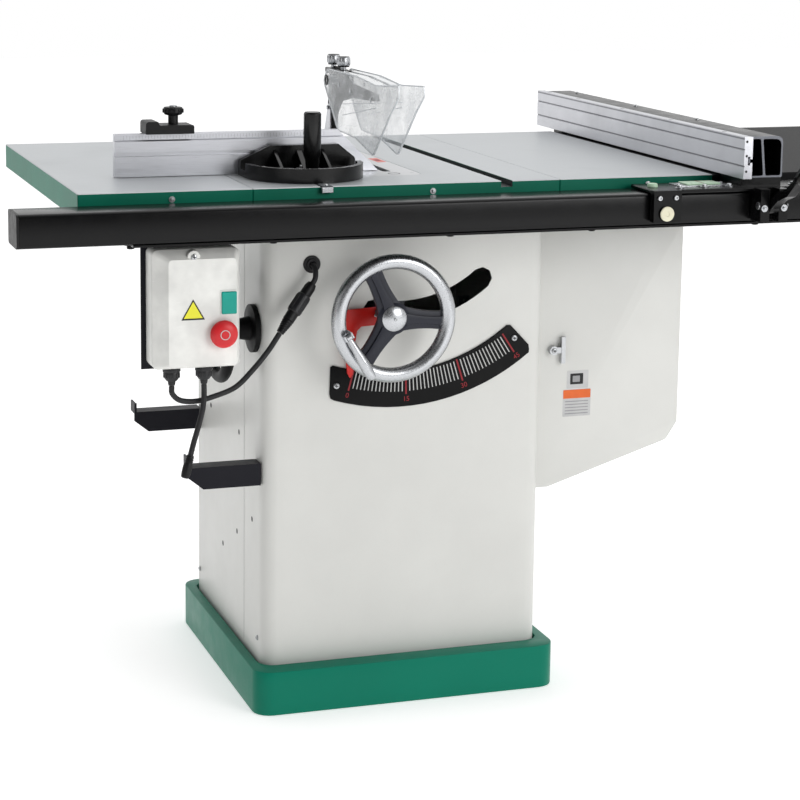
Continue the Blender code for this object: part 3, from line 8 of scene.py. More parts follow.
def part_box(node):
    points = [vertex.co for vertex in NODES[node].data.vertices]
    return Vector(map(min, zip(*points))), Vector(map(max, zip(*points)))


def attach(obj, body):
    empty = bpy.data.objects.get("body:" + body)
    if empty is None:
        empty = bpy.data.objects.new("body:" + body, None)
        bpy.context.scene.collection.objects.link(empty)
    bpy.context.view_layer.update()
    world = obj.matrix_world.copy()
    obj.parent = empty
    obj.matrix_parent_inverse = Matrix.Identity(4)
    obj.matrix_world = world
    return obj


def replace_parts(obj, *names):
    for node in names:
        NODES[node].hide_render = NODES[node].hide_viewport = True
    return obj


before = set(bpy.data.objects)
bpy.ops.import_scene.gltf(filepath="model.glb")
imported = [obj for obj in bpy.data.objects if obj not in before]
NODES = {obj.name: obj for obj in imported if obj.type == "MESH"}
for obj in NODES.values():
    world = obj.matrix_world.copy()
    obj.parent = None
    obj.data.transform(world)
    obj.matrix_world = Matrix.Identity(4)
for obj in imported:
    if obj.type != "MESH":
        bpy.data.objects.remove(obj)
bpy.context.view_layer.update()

FRONT, BACK = (0, -1, 0), (0, 1, 0)
LEFT, RIGHT = (-1, 0, 0), (1, 0, 0)
UP, DOWN = (0, 0, 1), (0, 0, -1)

# Places in metres, as in the CAD.
TABLE_TOP = 0.864
BLADE_X = -0.010
LEFT_SLOT_X, RIGHT_SLOT_X = -0.159, 0.141
PANEL_FRONT_Y = -0.2222
FENCE_HEAD_TOP = 0.8538

# Heights of the long grooves in the rip fence's face, each drawn with a line of painted shade.
FENCE_GROOVES = (0.9146, 0.888, 0.9320)

# How far flat marks are sunk into the surface they lie on.
SUNK = -0.0004


# ---------------------------------------------------------------- camera, lights and floor
def make_camera():
    data = bpy.data.cameras.new("studio_camera")
    data.sensor_width = 36.0
    data.lens = 100.047
    data.shift_x, data.shift_y = 0.025, -0.15
    data.clip_start = 0.1
    data.clip_end = 60.0
    cam = bpy.data.objects.new("studio_camera", data)
    bpy.context.scene.collection.objects.link(cam)
    yaw, pitch, roll = math.radians(18.401), math.radians(9.843), math.radians(0.665)
    forward = Vector((math.sin(yaw) * math.cos(pitch), math.cos(yaw) * math.cos(pitch), -math.sin(pitch)))
    turn = forward.to_track_quat("-Z", "Y").to_matrix().to_4x4()
    cam.matrix_world = Matrix.Translation((-1.1558, -3.5561, 1.3102)) @ turn @ Matrix.Rotation(roll, 4, "Z")
    bpy.context.scene.camera = cam


def area_light(name, place, target, size, power, tint=(1, 1, 1)):
    data = bpy.data.lights.new(name, "AREA")
    data.shape = "RECTANGLE"
    data.size, data.size_y = size
    data.energy = power
    data.color = tint
    lamp = bpy.data.objects.new(name, data)
    bpy.context.scene.collection.objects.link(lamp)
    lamp.location = place
    lamp.rotation_mode = "QUATERNION"
    lamp.rotation_quaternion = (Vector(target) - Vector(place)).to_track_quat("-Z", "Y")


def make_studio():
    world = bpy.data.worlds.new("studio_world")
    bpy.context.scene.world = world
    world.use_nodes = True
    tree = world.node_tree
    back = tree.nodes["Background"]
    back.inputs["Strength"].default_value = 1.0
    coords = tree.nodes.new("ShaderNodeTexCoord")
    towards = tree.nodes.new("ShaderNodeVectorMath")
    towards.operation = "DOT_PRODUCT"
    towards.inputs[1].default_value = (0.52, 0.80, 0.30)
    tree.links.new(coords.outputs["Generated"], towards.inputs[0])
    level = tree.nodes.new("ShaderNodeMapRange")
    level.interpolation_type = "SMOOTHSTEP"
    for key, value in (("From Min", -0.50), ("From Max", 0.42), ("To Min", 0.13), ("To Max", 1.0)):
        level.inputs[key].default_value = value
    tree.links.new(towards.outputs["Value"], level.inputs["Value"])
    tint = tree.nodes.new("ShaderNodeCombineColor")
    for channel in ("Red", "Green", "Blue"):
        tree.links.new(level.outputs["Result"], tint.inputs[channel])
    tree.links.new(tint.outputs["Color"], back.inputs["Color"])
    area_light("key_softbox", (1.9, -3.6, 1.9), (0.1, 0.0, 0.45), (2.0, 2.0), 62)
    area_light("fill_softbox", (-3.2, -2.2, 1.5), (0.0, 0.0, 0.5), (1.6, 1.8), 3)
    area_light("top_softbox", (0.3, 0.4, 3.4), (0.2, 0.0, 0.8), (3.0, 2.4), 16)
    floor = bpy.data.meshes.new("studio_floor")
    corners = [(-14, -14), (14, -14), (14, 14), (-14, 14)]
    floor.from_pydata([(x, y, -0.0006) for x, y in corners], [], [(0, 1, 2, 3)])
    obj = bpy.data.objects.new("studio_floor", floor)
    bpy.context.scene.collection.objects.link(obj)
    m = bpy.data.materials.new("studio_floor_paper")
    m.use_nodes = True
    shader = m.node_tree.nodes["Principled BSDF"]
    shader.inputs["Base Color"].default_value = (0.86, 0.86, 0.86, 1)
    shader.inputs["Roughness"].default_value = 0.95
    shader.inputs["Specular IOR Level"].default_value = 0.1
    shader.inputs["Emission Color"].default_value = (1, 1, 1, 1)
    shader.inputs["Emission Strength"].default_value = 0.50
    obj.data.materials.append(m)
    bpy.context.scene.view_settings.view_transform = "Standard"


# ---------------------------------------------------------------- materials
MATS = {}


class Graph:
    """A small helper round one material's node tree."""

    def __init__(self, name):
        self.mat = bpy.data.materials.new(name)
        self.mat.use_nodes = True
        self.tree = self.mat.node_tree
        self.shader = self.tree.nodes["Principled BSDF"]
        self.coords = self.node("ShaderNodeTexCoord").outputs["Object"]

    def node(self, kind, **settings):
        n = self.tree.nodes.new(kind)
        for key, value in settings.items():
            setattr(n, key, value)
        return n

    def link(self, a, b):
        self.tree.links.new(a, b)

    def value(self, socket, value):
        if isinstance(value, (int, float, tuple, list)):
            socket.default_value = value
        else:
            self.link(value, socket)

    def scaled(self, scale, turn=(0, 0, 0)):
        mapping = self.node("ShaderNodeMapping")
        self.link(self.coords, mapping.inputs["Vector"])
        mapping.inputs["Scale"].default_value = scale
        mapping.inputs["Rotation"].default_value = turn
        return mapping.outputs["Vector"]

    def noise(self, scale=(1, 1, 1), size=10.0, detail=3.0, rough=0.55, turn=(0, 0, 0)):
        n = self.node("ShaderNodeTexNoise")
        self.link(self.scaled(scale, turn), n.inputs["Vector"])
        n.inputs["Scale"].default_value = size
        n.inputs["Detail"].default_value = detail
        n.inputs["Roughness"].default_value = rough
        return n.outputs["Fac"]

    def voronoi(self, size, scale=(1, 1, 1)):
        n = self.node("ShaderNodeTexVoronoi")
        self.link(self.scaled(scale), n.inputs["Vector"])
        n.inputs["Scale"].default_value = size
        return n.outputs["Distance"]

    def ramp(self, factor, low, high, a=0.0, b=1.0):
        n = self.node("ShaderNodeMapRange")
        self.link(factor, n.inputs["Value"])
        for key, v in (("From Min", a), ("From Max", b), ("To Min", low), ("To Max", high)):
            n.inputs[key].default_value = v
        return n.outputs["Result"]

    def mix(self, factor, a, b, blend="MIX"):
        n = self.node("ShaderNodeMix", data_type="RGBA", blend_type=blend)
        self.value(n.inputs[0], factor)
        self.value(n.inputs[6], a)
        self.value(n.inputs[7], b)
        return n.outputs[2]

    def math(self, operation, a, b=0.0, clamp=False):
        n = self.node("ShaderNodeMath", operation=operation, use_clamp=clamp)
        self.value(n.inputs[0], a)
        self.value(n.inputs[1], b)
        return n.outputs[0]

    def axis(self, letter):
        n = self.node("ShaderNodeSeparateXYZ")
        self.link(self.coords, n.inputs[0])
        return n.outputs[letter]

    def facing(self, letter):
        n = self.node("ShaderNodeSeparateXYZ")
        self.link(self.node("ShaderNodeNewGeometry").outputs["True Normal"], n.inputs[0])
        return n.outputs[letter]

    def bump(self, layers, edge=0.0006):
        """Layers of (height, depth in metres) over a softened edge."""
        normal = None
        if edge:
            soft = self.node("ShaderNodeBevel", samples=4)
            soft.inputs["Radius"].default_value = edge
            normal = soft.outputs["Normal"]
        for height, depth in layers:
            n = self.node("ShaderNodeBump")
            n.inputs["Strength"].default_value = 1.0
            n.inputs["Distance"].default_value = depth
            self.link(height, n.inputs["Height"])
            if normal is not None:
                self.link(normal, n.inputs["Normal"])
            normal = n.outputs["Normal"]
        if normal is not None:
            self.link(normal, self.shader.inputs["Normal"])

    def set(self, **sockets):
        names = {
            "color": "Base Color",
            "rough": "Roughness",
            "metal": "Metallic",
            "coat": "Coat Weight",
            "coat_rough": "Coat Roughness",
            "ior": "IOR",
            "specular": "Specular IOR Level",
            "transmission": "Transmission Weight",
            "alpha": "Alpha",
            "aniso": "Anisotropic",
            "sheen": "Sheen Weight",
        }
        for key, value in sockets.items():
            self.value(self.shader.inputs[names[key]], value)
        return self.mat


def rgb(r, g, b):
    """Linear colour from display values of 0 to 255."""
    out = []
    for v in (r, g, b):
        v = v / 255
        out.append(v / 12.92 if v <= 0.04045 else ((v + 0.055) / 1.055) ** 2.4)
    return (out[0], out[1], out[2], 1.0)


def scale_colour(colour, k):
    return (colour[0] * k, colour[1] * k, colour[2] * k, 1.0)


def painted(name, colour, rough=0.35, peel=0.00002, coat=0.25, dust=0.06, edge=0.0008, specular=0.5):
    g = Graph(name)
    patches = g.ramp(g.noise(size=7, detail=4), 0.0, 1.0, 0.35, 0.7)
    tone = g.mix(patches, scale_colour(colour, 0.965), scale_colour(colour, 1.02))
    specks = g.ramp(g.noise(size=420, detail=2), 0.0, dust, 0.60, 0.72)
    tone = g.mix(specks, tone, scale_colour(colour, 0.72))
    shine = g.ramp(g.noise(size=36, detail=5), rough * 0.88, rough * 1.12, 0.3, 0.7)
    g.bump([(g.noise(size=520, detail=2), peel), (g.noise(size=16, detail=2), peel * 4)], edge)
    MATS[name] = g.set(color=tone, rough=shine, coat=coat, coat_rough=0.16, specular=specular)
    return MATS[name]


def moulded(name, colour, rough=0.5, grain=0.00003, size=1400, edge=0.0006, specular=0.4):
    g = Graph(name)
    cloud = g.ramp(g.noise(size=22, detail=3), 0.0, 1.0, 0.35, 0.7)
    tone = g.mix(cloud, scale_colour(colour, 0.90), scale_colour(colour, 1.08))
    scuff = g.ramp(g.noise(scale=(1, 1, 5), size=60, detail=6), 0.0, 0.25, 0.62, 0.78)
    tone = g.mix(scuff, tone, tuple(min(1, c * 1.5 + 0.01) for c in colour[:3]) + (1,))
    shine = g.ramp(g.noise(size=90, detail=4), rough * 0.85, rough * 1.15, 0.3, 0.7)
    g.bump([(g.voronoi(size), grain), (g.noise(size=60, detail=2), grain * 2)], edge)
    MATS[name] = g.set(color=tone, rough=shine, specular=specular)
    return MATS[name]


def metal(name, colour, rough=0.3, streak=(1, 60, 60), depth=0.000012, edge=0.0005, spots=0.1):
    g = Graph(name)
    lines = g.noise(scale=streak, size=24, detail=6, rough=0.7)
    tone = g.mix(g.ramp(lines, 0, 1, 0.3, 0.7), scale_colour(colour, 0.86), scale_colour(colour, 1.06))
    stain = g.ramp(g.noise(size=14, detail=6), 0.0, spots, 0.55, 0.75)
    tone = g.mix(stain, tone, scale_colour(colour, 0.55))
    shine = g.ramp(lines, rough * 0.75, rough * 1.3, 0.3, 0.7)
    g.bump([(lines, depth)], edge)
    MATS[name] = g.set(color=tone, rough=shine, metal=1.0)
    return MATS[name]


def cast(name, colour, rough=0.62, metalness=0.35):
    g = Graph(name)
    lumps = g.noise(size=240, detail=5)
    tone = g.mix(g.ramp(lumps, 0, 1, 0.3, 0.7), scale_colour(colour, 0.75), scale_colour(colour, 1.15))
    rust = g.ramp(g.noise(size=18, detail=7), 0.0, 0.3, 0.6, 0.8)
    tone = g.mix(rust, tone, (0.11, 0.075, 0.05, 1))
    g.bump([(lumps, 0.0002), (g.voronoi(700), 0.00008)], 0.001)
    MATS[name] = g.set(color=tone, rough=g.ramp(lumps, rough * 0.8, rough * 1.2), metal=metalness)
    return MATS[name]


def table_iron():
    """Ground top with grinding lines and oil marks, green enamel on the edges, raw iron below."""
    g = Graph("ground_table")
    green = rgb(0, 114, 90)
    lines = g.noise(scale=(1.2, 90, 1), size=20, detail=7, rough=0.75)
    cross = g.noise(scale=(70, 2.0, 1), size=14, detail=4, rough=0.7)
    top = g.mix(g.ramp(lines, 0, 1, 0.32, 0.68), rgb(178, 182, 185), rgb(204, 207, 209))
    top = g.mix(g.ramp(cross, 0.0, 0.35, 0.45, 0.75), top, rgb(190, 192, 194))
    smudge = g.ramp(g.noise(size=5.5, detail=6), 0.0, 0.30, 0.52, 0.74)
    top = g.mix(smudge, top, rgb(168, 172, 174))
    up = g.ramp(g.facing("Z"), 0.0, 1.0, 0.30, 0.40)
    high = g.ramp(g.axis("Z"), 0.0, 1.0, 0.8535, 0.8537)
    is_top = g.math("MULTIPLY", up, high)
    low = g.ramp(g.facing("Z"), 1.0, 0.0, -0.6, -0.4)
    lumps = g.noise(size=260, detail=4)
    under = g.mix(g.ramp(lumps, 0, 1, 0.3, 0.7), rgb(70, 74, 76), rgb(108, 112, 114))
    cloud = g.ramp(g.noise(size=9, detail=4), 0, 1, 0.35, 0.7)
    edge = g.mix(cloud, scale_colour(green, 0.9), scale_colour(green, 1.05))
    colour = g.mix(low, edge, under)
    colour = g.mix(is_top, colour, top)
    shine = g.math("ADD", g.math("MULTIPLY", is_top, -0.02), g.ramp(lines, 0.34, 0.50, 0.3, 0.7))
    metalness = g.math("MULTIPLY", is_top, 0.55)
    g.bump([(lines, 0.000012), (g.noise(size=300, detail=2), 0.00002)], 0.0007)
    MATS["ground_table"] = g.set(color=colour, rough=shine, metal=metalness, specular=0.18)


def cut_end(name, base, front, silver=(190, 192, 196), metalness=0.0, rough=0.3, grooves=()):
    """Black finish whose sawn front end shows bare metal."""
    g = Graph(name)
    sawn = g.noise(scale=(3, 1, 90), size=40, detail=4)
    bare = g.mix(g.ramp(sawn, 0, 1, 0.3, 0.7), scale_colour(rgb(*silver), 0.8), rgb(*silver))
    patches = g.ramp(g.noise(size=9, detail=4), 0.0, 1.0, 0.35, 0.7)
    tone = g.mix(patches, scale_colour(base, 0.95), scale_colour(base, 1.04))
    at_front = g.ramp(g.axis("Y"), 1.0, 0.0, front + 0.0002, front + 0.0006)
    # Painted shade: a darker line at each groove height on the faces that do not face up.
    for level in grooves:
        away = g.math("ABSOLUTE", g.math("SUBTRACT", g.axis("Z"), level))
        groove_shade = g.ramp(away, 0.72, 0.0, 0.0006, 0.0019)
        side = g.math("MULTIPLY", groove_shade, g.ramp(g.facing("Z"), 1.0, 0.0, 0.2, 0.9))
        tone = g.mix(side, tone, rgb(70, 70, 78))
    colour = g.mix(at_front, tone, bare)
    g.bump([(g.noise(size=600, detail=2), 0.00002)], 0.0006)
    MATS[name] = g.set(
        color=colour,
        rough=g.ramp(g.noise(size=40, detail=5), rough * 0.85, rough * 1.2, 0.3, 0.7),
        metal=g.math("MAXIMUM", g.math("MULTIPLY", at_front, 0.9), metalness),
        specular=0.25,
    )


def clear_plastic():
    """Polycarbonate with a patchy whitish layer, partly haze and partly painted sheen, that goes milky
    where it is scuffed and along its cut edges, the edges partly a painted highlight.
    """
    g = Graph("clear_guard")
    scuff = g.noise(scale=(1, 3, 14), size=40, detail=6, rough=0.7)
    # Patchy whitish opacity: partly haze, partly painted sheen.
    haze_and_sheen = g.ramp(g.noise(size=20, detail=4), 0.22, 0.50, 0.35, 0.7)
    marks = g.ramp(scuff, 0.0, 0.35, 0.60, 0.76)
    # Edge faces turn opaque white: partly frosted cut edge, partly painted highlight.
    side = g.math("ABSOLUTE", g.facing("X"))
    rim = g.ramp(side, 0.55, 0.0, 0.6, 0.95)
    opaque = g.math("ADD", g.math("ADD", haze_and_sheen, marks), rim, clamp=True)
    colour = g.mix(g.ramp(scuff, 0, 1, 0.35, 0.65), rgb(222, 228, 232), rgb(246, 248, 250))
    g.bump([(scuff, 0.00004), (g.noise(size=14, detail=2), 0.0003)], 0.0008)
    rough = g.ramp(scuff, 0.06, 0.3, 0.4, 0.8)
    MATS["clear_guard"] = g.set(color=colour, rough=rough, alpha=opaque, coat=0.5)


def laminate():
    g = Graph("laminate_black")
    grain = g.noise(scale=(6, 60, 1), size=30, detail=6)
    tone = g.mix(g.ramp(grain, 0, 1, 0.3, 0.7), rgb(12, 12, 13), rgb(20, 20, 22))
    scuffs = g.ramp(g.noise(scale=(20, 2, 1), size=12, detail=7), 0.0, 0.4, 0.64, 0.8)
    tone = g.mix(scuffs, tone, rgb(36, 37, 39))
    g.bump([(g.voronoi(900), 0.00004), (grain, 0.00002)], 0.0012)
    MATS["laminate_black"] = g.set(color=tone, rough=g.ramp(grain, 0.46, 0.62, 0.3, 0.7), specular=0.12)


FLAT_MARKS = (
    # Painted shade in the miter slots.
    ("slot_shade", (44, 50, 50), 0.60),
    # Milky shield edge, partly a painted highlight; also painted highlights along the shield's creases.
    ("milky_edge_and_highlight", (238, 241, 244), 0.30),
    ("mark_white", (196, 196, 196), 0.50),
    ("mark_red", (142, 18, 30), 0.50),
    # Black for print, and painted shade in holes, slits, screw recesses and under louvres.
    ("black_mark_and_painted_shade", (22, 22, 24), 0.50),
    ("mark_orange", (226, 104, 40), 0.45),
    # Grey for print, seams and lines, and painted shade in the holes along the rip fence's top.
    ("grey_mark_and_painted_shade", (150, 150, 152), 0.50),
    ("insert_pink", (226, 120, 112), 0.45),
)


def make_materials():
    painted("cream_enamel", rgb(216, 216, 212), 0.42, dust=0.08, coat=0.12)
    painted("green_enamel", rgb(0, 122, 98), 0.34, coat=0.0, dust=0.02, specular=0.16)
    painted("black_gloss", rgb(6, 6, 7), 0.24, peel=0.000012, coat=0.0, dust=0.02, specular=0.22)
    painted("black_powder", rgb(8, 8, 9), 0.50, peel=0.00005, coat=0.0, dust=0.03, specular=0.15)
    painted("bracket_black", rgb(20, 20, 28), 0.45, peel=0.00004, coat=0.0, dust=0.04, specular=0.18)
    painted("wheel_spoke", rgb(34, 36, 46), 0.38, peel=0.00004, coat=0.0, specular=0.3)
    painted("motor_grey", rgb(46, 48, 52), 0.45, peel=0.00004, coat=0.1)
    moulded("black_plastic", rgb(13, 13, 15), 0.45, specular=0.3)
    moulded("miter_black", rgb(7, 7, 8), 0.22, grain=0.00001, specular=0.35)
    moulded("gland_plastic", rgb(28, 28, 31), 0.42)
    moulded("rubber_sheath", rgb(30, 30, 32), 0.62, size=2400)
    moulded("switch_white", rgb(232, 232, 228), 0.42, grain=0.00002)
    moulded("start_green", rgb(0, 158, 142), 0.35, grain=0.00001)
    moulded("signal_red", rgb(206, 34, 40), 0.35, grain=0.00001)
    moulded("pointer_red", rgb(202, 22, 12), 0.40, grain=0.00001)
    moulded("hazard_yellow", rgb(244, 240, 60), 0.40, grain=0.00001)
    for name, colour, rough in FLAT_MARKS:
        moulded(name, rgb(*colour), rough, grain=0.00001, edge=0)
    moulded("nylon_cream", rgb(226, 222, 196), 0.45)
    moulded("level_green", rgb(196, 226, 196), 0.30, grain=0.00001)
    metal("bright_steel", rgb(196, 198, 202), 0.28)
    metal("turned_steel", rgb(204, 206, 210), 0.24, streak=(30, 1, 1))
    metal("blade_steel", rgb(190, 192, 196), 0.26, streak=(40, 6, 6))
    metal("zinc_screw", rgb(188, 190, 192), 0.34, streak=(30, 30, 30))
    metal("polished_rim", rgb(190, 192, 195), 0.27, streak=(20, 20, 20), depth=0.000004, spots=0.04)
    metal("extruded_x", rgb(206, 207, 212), 0.34, streak=(1, 70, 70), depth=0.00001)
    metal("insert_metal", rgb(205, 206, 208), 0.36, streak=(60, 1, 1))
    cast("rough_iron", rgb(92, 95, 99))
    table_iron()
    clear_plastic()
    laminate()
    cut_end("fence_body_black", rgb(9, 9, 11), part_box("rip_fence_body")[0].y, (112, 114, 120))
    face_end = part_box("rip_fence_face")[0].y
    cut_end("fence_face_alu", rgb(206, 207, 212), face_end, (218, 219, 224), 0.85, 0.34, FENCE_GROOVES)


FINISH_NODES = {
    "green_enamel": "base_plinth",
    "cream_enamel": "cabinet_shell motor_cover",
    "black_plastic": "dust_port rail_cap_left motor_lead_connector power_connector flip_stop",
    "black_powder": (
        "angle_scale extension_leg_front extension_leg_rear tilt_handwheel tilt_flange splitter"
    ),
    "bracket_black": "storage_bracket_front storage_bracket_rear switch_bracket",
    "ground_table": "main_table left_wing right_wing",
    "insert_metal": "table_insert",
    "laminate_black": "extension_table",
    "black_gloss": "front_rail front_angle rear_rail fence_head cam_lever",
    "rough_iron": (
        "trunnion_bracket_front trunnion_bracket_rear tilt_cradle arbor_arm arbor_pulley "
        "motor_pulley"
    ),
    "pointer_red": "tilt_pointer",
    "turned_steel": "height_shaft arbor",
    "polished_rim": "height_handwheel height_wheel_handle",
    "zinc_screw": "arbor_nut cover_latch",
    "blade_steel": "saw_blade",
    "motor_grey": "motor",
    "rubber_sheath": "drive_belt motor_lead power_lead panel_grommet",
    "clear_guard": "left_shield right_shield",
    "bright_steel": "kickback_pawls miter_bar",
    "switch_white": "switch_box",
    "start_green": "start_button",
    "signal_red": "stop_button",
    "gland_plastic": "motor_lead_gland power_lead_gland",
    "miter_black": "miter_head miter_handle",
    "extruded_x": "miter_fence",
    "fence_face_alu": "rip_fence_face",
    "fence_body_black": "rip_fence_body",
}


def smoothing_group():
    """Geometry nodes that weld split corners and shade round faces as round."""
    tree = bpy.data.node_groups.new("soft_shading", "GeometryNodeTree")
    tree.interface.new_socket("Geometry", in_out="INPUT", socket_type="NodeSocketGeometry")
    tree.interface.new_socket("Geometry", in_out="OUTPUT", socket_type="NodeSocketGeometry")
    nodes, links = tree.nodes, tree.links
    start, end = nodes.new("NodeGroupInput"), nodes.new("NodeGroupOutput")
    weld = nodes.new("GeometryNodeMergeByDistance")
    weld.inputs["Distance"].default_value = 0.000004
    last = start.outputs[0]
    for name in ("custom_normal", "sharp_edge", "sharp_face"):
        drop = nodes.new("GeometryNodeRemoveAttribute")
        drop.inputs["Name"].default_value = name
        links.new(last, drop.inputs["Geometry"])
        last = drop.outputs["Geometry"]
    links.new(last, weld.inputs["Geometry"])
    faces = nodes.new("GeometryNodeSetShadeSmooth")
    links.new(weld.outputs["Geometry"], faces.inputs["Geometry"])
    edges = nodes.new("GeometryNodeSetShadeSmooth")
    edges.domain = "EDGE"
    angle = nodes.new("GeometryNodeInputMeshEdgeAngle")
    test = nodes.new("FunctionNodeCompare")
    test.data_type = "FLOAT"
    test.operation = "GREATER_THAN"
    test.inputs["B"].default_value = math.radians(33)
    links.new(angle.outputs["Unsigned Angle"], test.inputs["A"])
    links.new(test.outputs["Result"], edges.inputs["Selection"])
    edges.inputs["Shade Smooth"].default_value = False
    links.new(faces.outputs["Geometry"], edges.inputs["Geometry"])
    links.new(edges.outputs["Geometry"], end.inputs[0])
    return tree


def finish_nodes():
    group = smoothing_group()
    finish_of = {node: finish for finish, nodes in FINISH_NODES.items() for node in nodes.split()}
    for name, obj in NODES.items():
        finish = MATS[finish_of[name]]
        for slot in obj.material_slots:
            slot.material = finish
        modifier = obj.modifiers.new("soft_shading", "NODES")
        modifier.node_group = group


# ---------------------------------------------------------------- shape building
class Piece:
    """Collects closed forms, each with its own finish, into one smooth-shaded object."""

    def __init__(self, name):
        self.name = name
        self.bm = bmesh.new()
        self.finishes = []

    def use(self, finish):
        if finish not in self.finishes:
            self.finishes.append(finish)
        return self.finishes.index(finish)

    def add(self, other, finish, place=None):
        index = self.use(finish)
        for f in other.faces:
            f.material_index = index
        if place is not None:
            bmesh.ops.transform(other, matrix=place, verts=other.verts)
        mesh = bpy.data.meshes.new("form")
        other.to_mesh(mesh)
        other.free()
        self.bm.from_mesh(mesh)
        bpy.data.meshes.remove(mesh)

    def revolve(self, profile, base, axis, finish, steps=48):
        """Profile points are (radius, height along the axis)."""
        bm = bmesh.new()
        rings = []
        for radius, height in profile:
            if radius < 1e-7:
                rings.append([bm.verts.new((0, 0, height))])
                continue
            turn = [2 * math.pi * k / steps for k in range(steps)]
            rings.append([bm.verts.new((radius * math.cos(a), radius * math.sin(a), height)) for a in turn])
        closed = profile[0] == profile[-1]
        if closed:
            for v in rings[-1]:
                bm.verts.remove(v)
            rings[-1] = rings[0]
        for a, b in zip(rings, rings[1:]):
            for k in range(steps):
                n = (k + 1) % steps
                corners = [a[k % len(a)], a[n % len(a)], b[n % len(b)], b[k % len(b)]]
                unique = list(dict.fromkeys(corners))
                if len(unique) > 2:
                    bm.faces.new(unique)
        if not closed:
            for end in (rings[0], rings[-1]):
                if len(end) > 2:
                    bm.faces.new(end)
        bmesh.ops.recalc_face_normals(bm, faces=bm.faces)
        self.add(bm, finish, standing(base, axis))

    def prism(self, outline, low, high, finish, place, bevel=0.0):
        """A flat outline in x and y, pushed from low to high along z, then placed."""
        bm = bmesh.new()
        bottom = [bm.verts.new((x, y, low)) for x, y in outline]
        top = [bm.verts.new((x, y, high)) for x, y in outline]
        bm.faces.new(bottom)
        bm.faces.new(top)
        count = len(outline)
        for k in range(count):
            n = (k + 1) % count
            bm.faces.new((bottom[k], bottom[n], top[n], top[k]))
        bmesh.ops.recalc_face_normals(bm, faces=bm.faces)
        if bevel:
            edges = [e for e in bm.edges if abs(e.calc_face_angle(0)) > 0.7]
            bmesh.ops.bevel(
                bm,
                geom=edges,
                offset=bevel,
                segments=2,
                profile=0.5,
                affect="EDGES",
                clamp_overlap=True,
            )
        self.add(bm, finish, place)

    def loft(self, rows, finish, place):
        """Joins outlines of the same point count, each at its own height."""
        bm = bmesh.new()
        rings = [[bm.verts.new((x, y, z)) for x, y in outline] for outline, z in rows]
        count = len(rings[0])
        for a, b in zip(rings, rings[1:]):
            for k in range(count):
                n = (k + 1) % count
                bm.faces.new((a[k], a[n], b[n], b[k]))
        bm.faces.new(rings[0])
        bm.faces.new(rings[-1])
        bmesh.ops.recalc_face_normals(bm, faces=bm.faces)
        self.add(bm, finish, place)

    def block(self, low, high, finish, bevel=0.0008, place=None):
        bm = bmesh.new()
        bmesh.ops.create_cube(bm, size=1.0)
        size = Vector(high) - Vector(low)
        middle = (Vector(high) + Vector(low)) / 2
        bmesh.ops.transform(bm, matrix=Matrix.Diagonal((*size, 1)), verts=bm.verts)
        if bevel:
            offset = min(bevel, min(size) * 0.45)
            bmesh.ops.bevel(bm, geom=bm.edges[:], offset=offset, segments=3, profile=0.6, affect="EDGES")
        bmesh.ops.transform(bm, matrix=Matrix.Translation(middle), verts=bm.verts)
        self.add(bm, finish, place)

    def tube(self, points, radius, finish, sides=12, closed=False):
        """Round bar along a row of points."""
        bm = bmesh.new()
        rings = []
        count = len(points)
        up = Vector((0.0123, 0.0321, 1)).normalized()
        for i, p in enumerate(points):
            before = Vector(points[(i - 1) % count] if closed or i else points[i])
            after = Vector(points[(i + 1) % count] if closed or i < count - 1 else points[i])
            along = (after - before).normalized()
            side = along.cross(up) if abs(along.dot(up)) < 0.98 else along.orthogonal()
            side.normalize()
            other = side.cross(along).normalized()
            turns = [2 * math.pi * k / sides for k in range(sides)]
            spokes = [(side * math.cos(a) + other * math.sin(a)) * radius for a in turns]
            rings.append([bm.verts.new(Vector(p) + spoke) for spoke in spokes])
        for a, b in zip(rings, rings[1:] + ([rings[0]] if closed else [])):
            for k in range(sides):
                n = (k + 1) % sides
                bm.faces.new((a[k], a[n], b[n], b[k]))
        if not closed:
            bm.faces.new(rings[0])
            bm.faces.new(rings[-1])
        bmesh.ops.recalc_face_normals(bm, faces=bm.faces)
        self.add(bm, finish)

    def ridges(self, count, low, high, finish, place, bevel=0.0004):
        """One block repeated evenly round the placed z axis, as grip ridges are."""
        for k in range(count):
            turn = place @ Matrix.Rotation(2 * math.pi * k / count, 4, "Z")
            self.block(low, high, finish, bevel, turn)

    def hex_bolt(self, point, axis, across=0.010, height=0.004, finish="zinc_screw"):
        """Hexagon head with a chamfered crown and a plain washer, standing out along the axis."""
        axis = Vector(axis).normalized()
        washer = 0.0011
        self.revolve(hoop(across * 0.25, across, 0, washer), point, axis, finish, 28)
        start = Vector(point) + axis * washer
        ring = [(across * 0.577 * x, across * 0.577 * y) for x, y in hexagon_corners(0)]
        self.prism(ring, 0, height, finish, standing(start, axis), 0.0005)
        low, high = height - 0.0002, height + 0.0004
        crown = [(0, low), (across * 0.44, low), (across * 0.36, high), (0, high)]
        self.revolve(crown, start, axis, finish, 24)

    def pan_screw(self, point, axis, radius=0.0035, finish="zinc_screw"):
        """Domed screw with a cross recess."""
        axis = Vector(axis).normalized()
        shares = ((0, 0), (1, 0), (1, 0.2), (0.86, 0.44), (0.5, 0.6), (0, 0.64))
        dome = [(radius * across, radius * up) for across, up in shares]
        self.revolve(dome, point, axis, finish, 24)
        arm, w = radius * 0.55, radius * 0.13
        cross = [(-w, -arm), (w, -arm), (w, -w), (arm, -w), (arm, w), (w, w)]
        cross += [(w, arm), (-w, arm), (-w, w), (-arm, w), (-arm, -w), (-w, -w)]
        # The black cross is painted shade standing in for the recess.
        self.prism(cross, radius * 0.5, radius * 0.655, "black_mark_and_painted_shade", standing(point, axis))

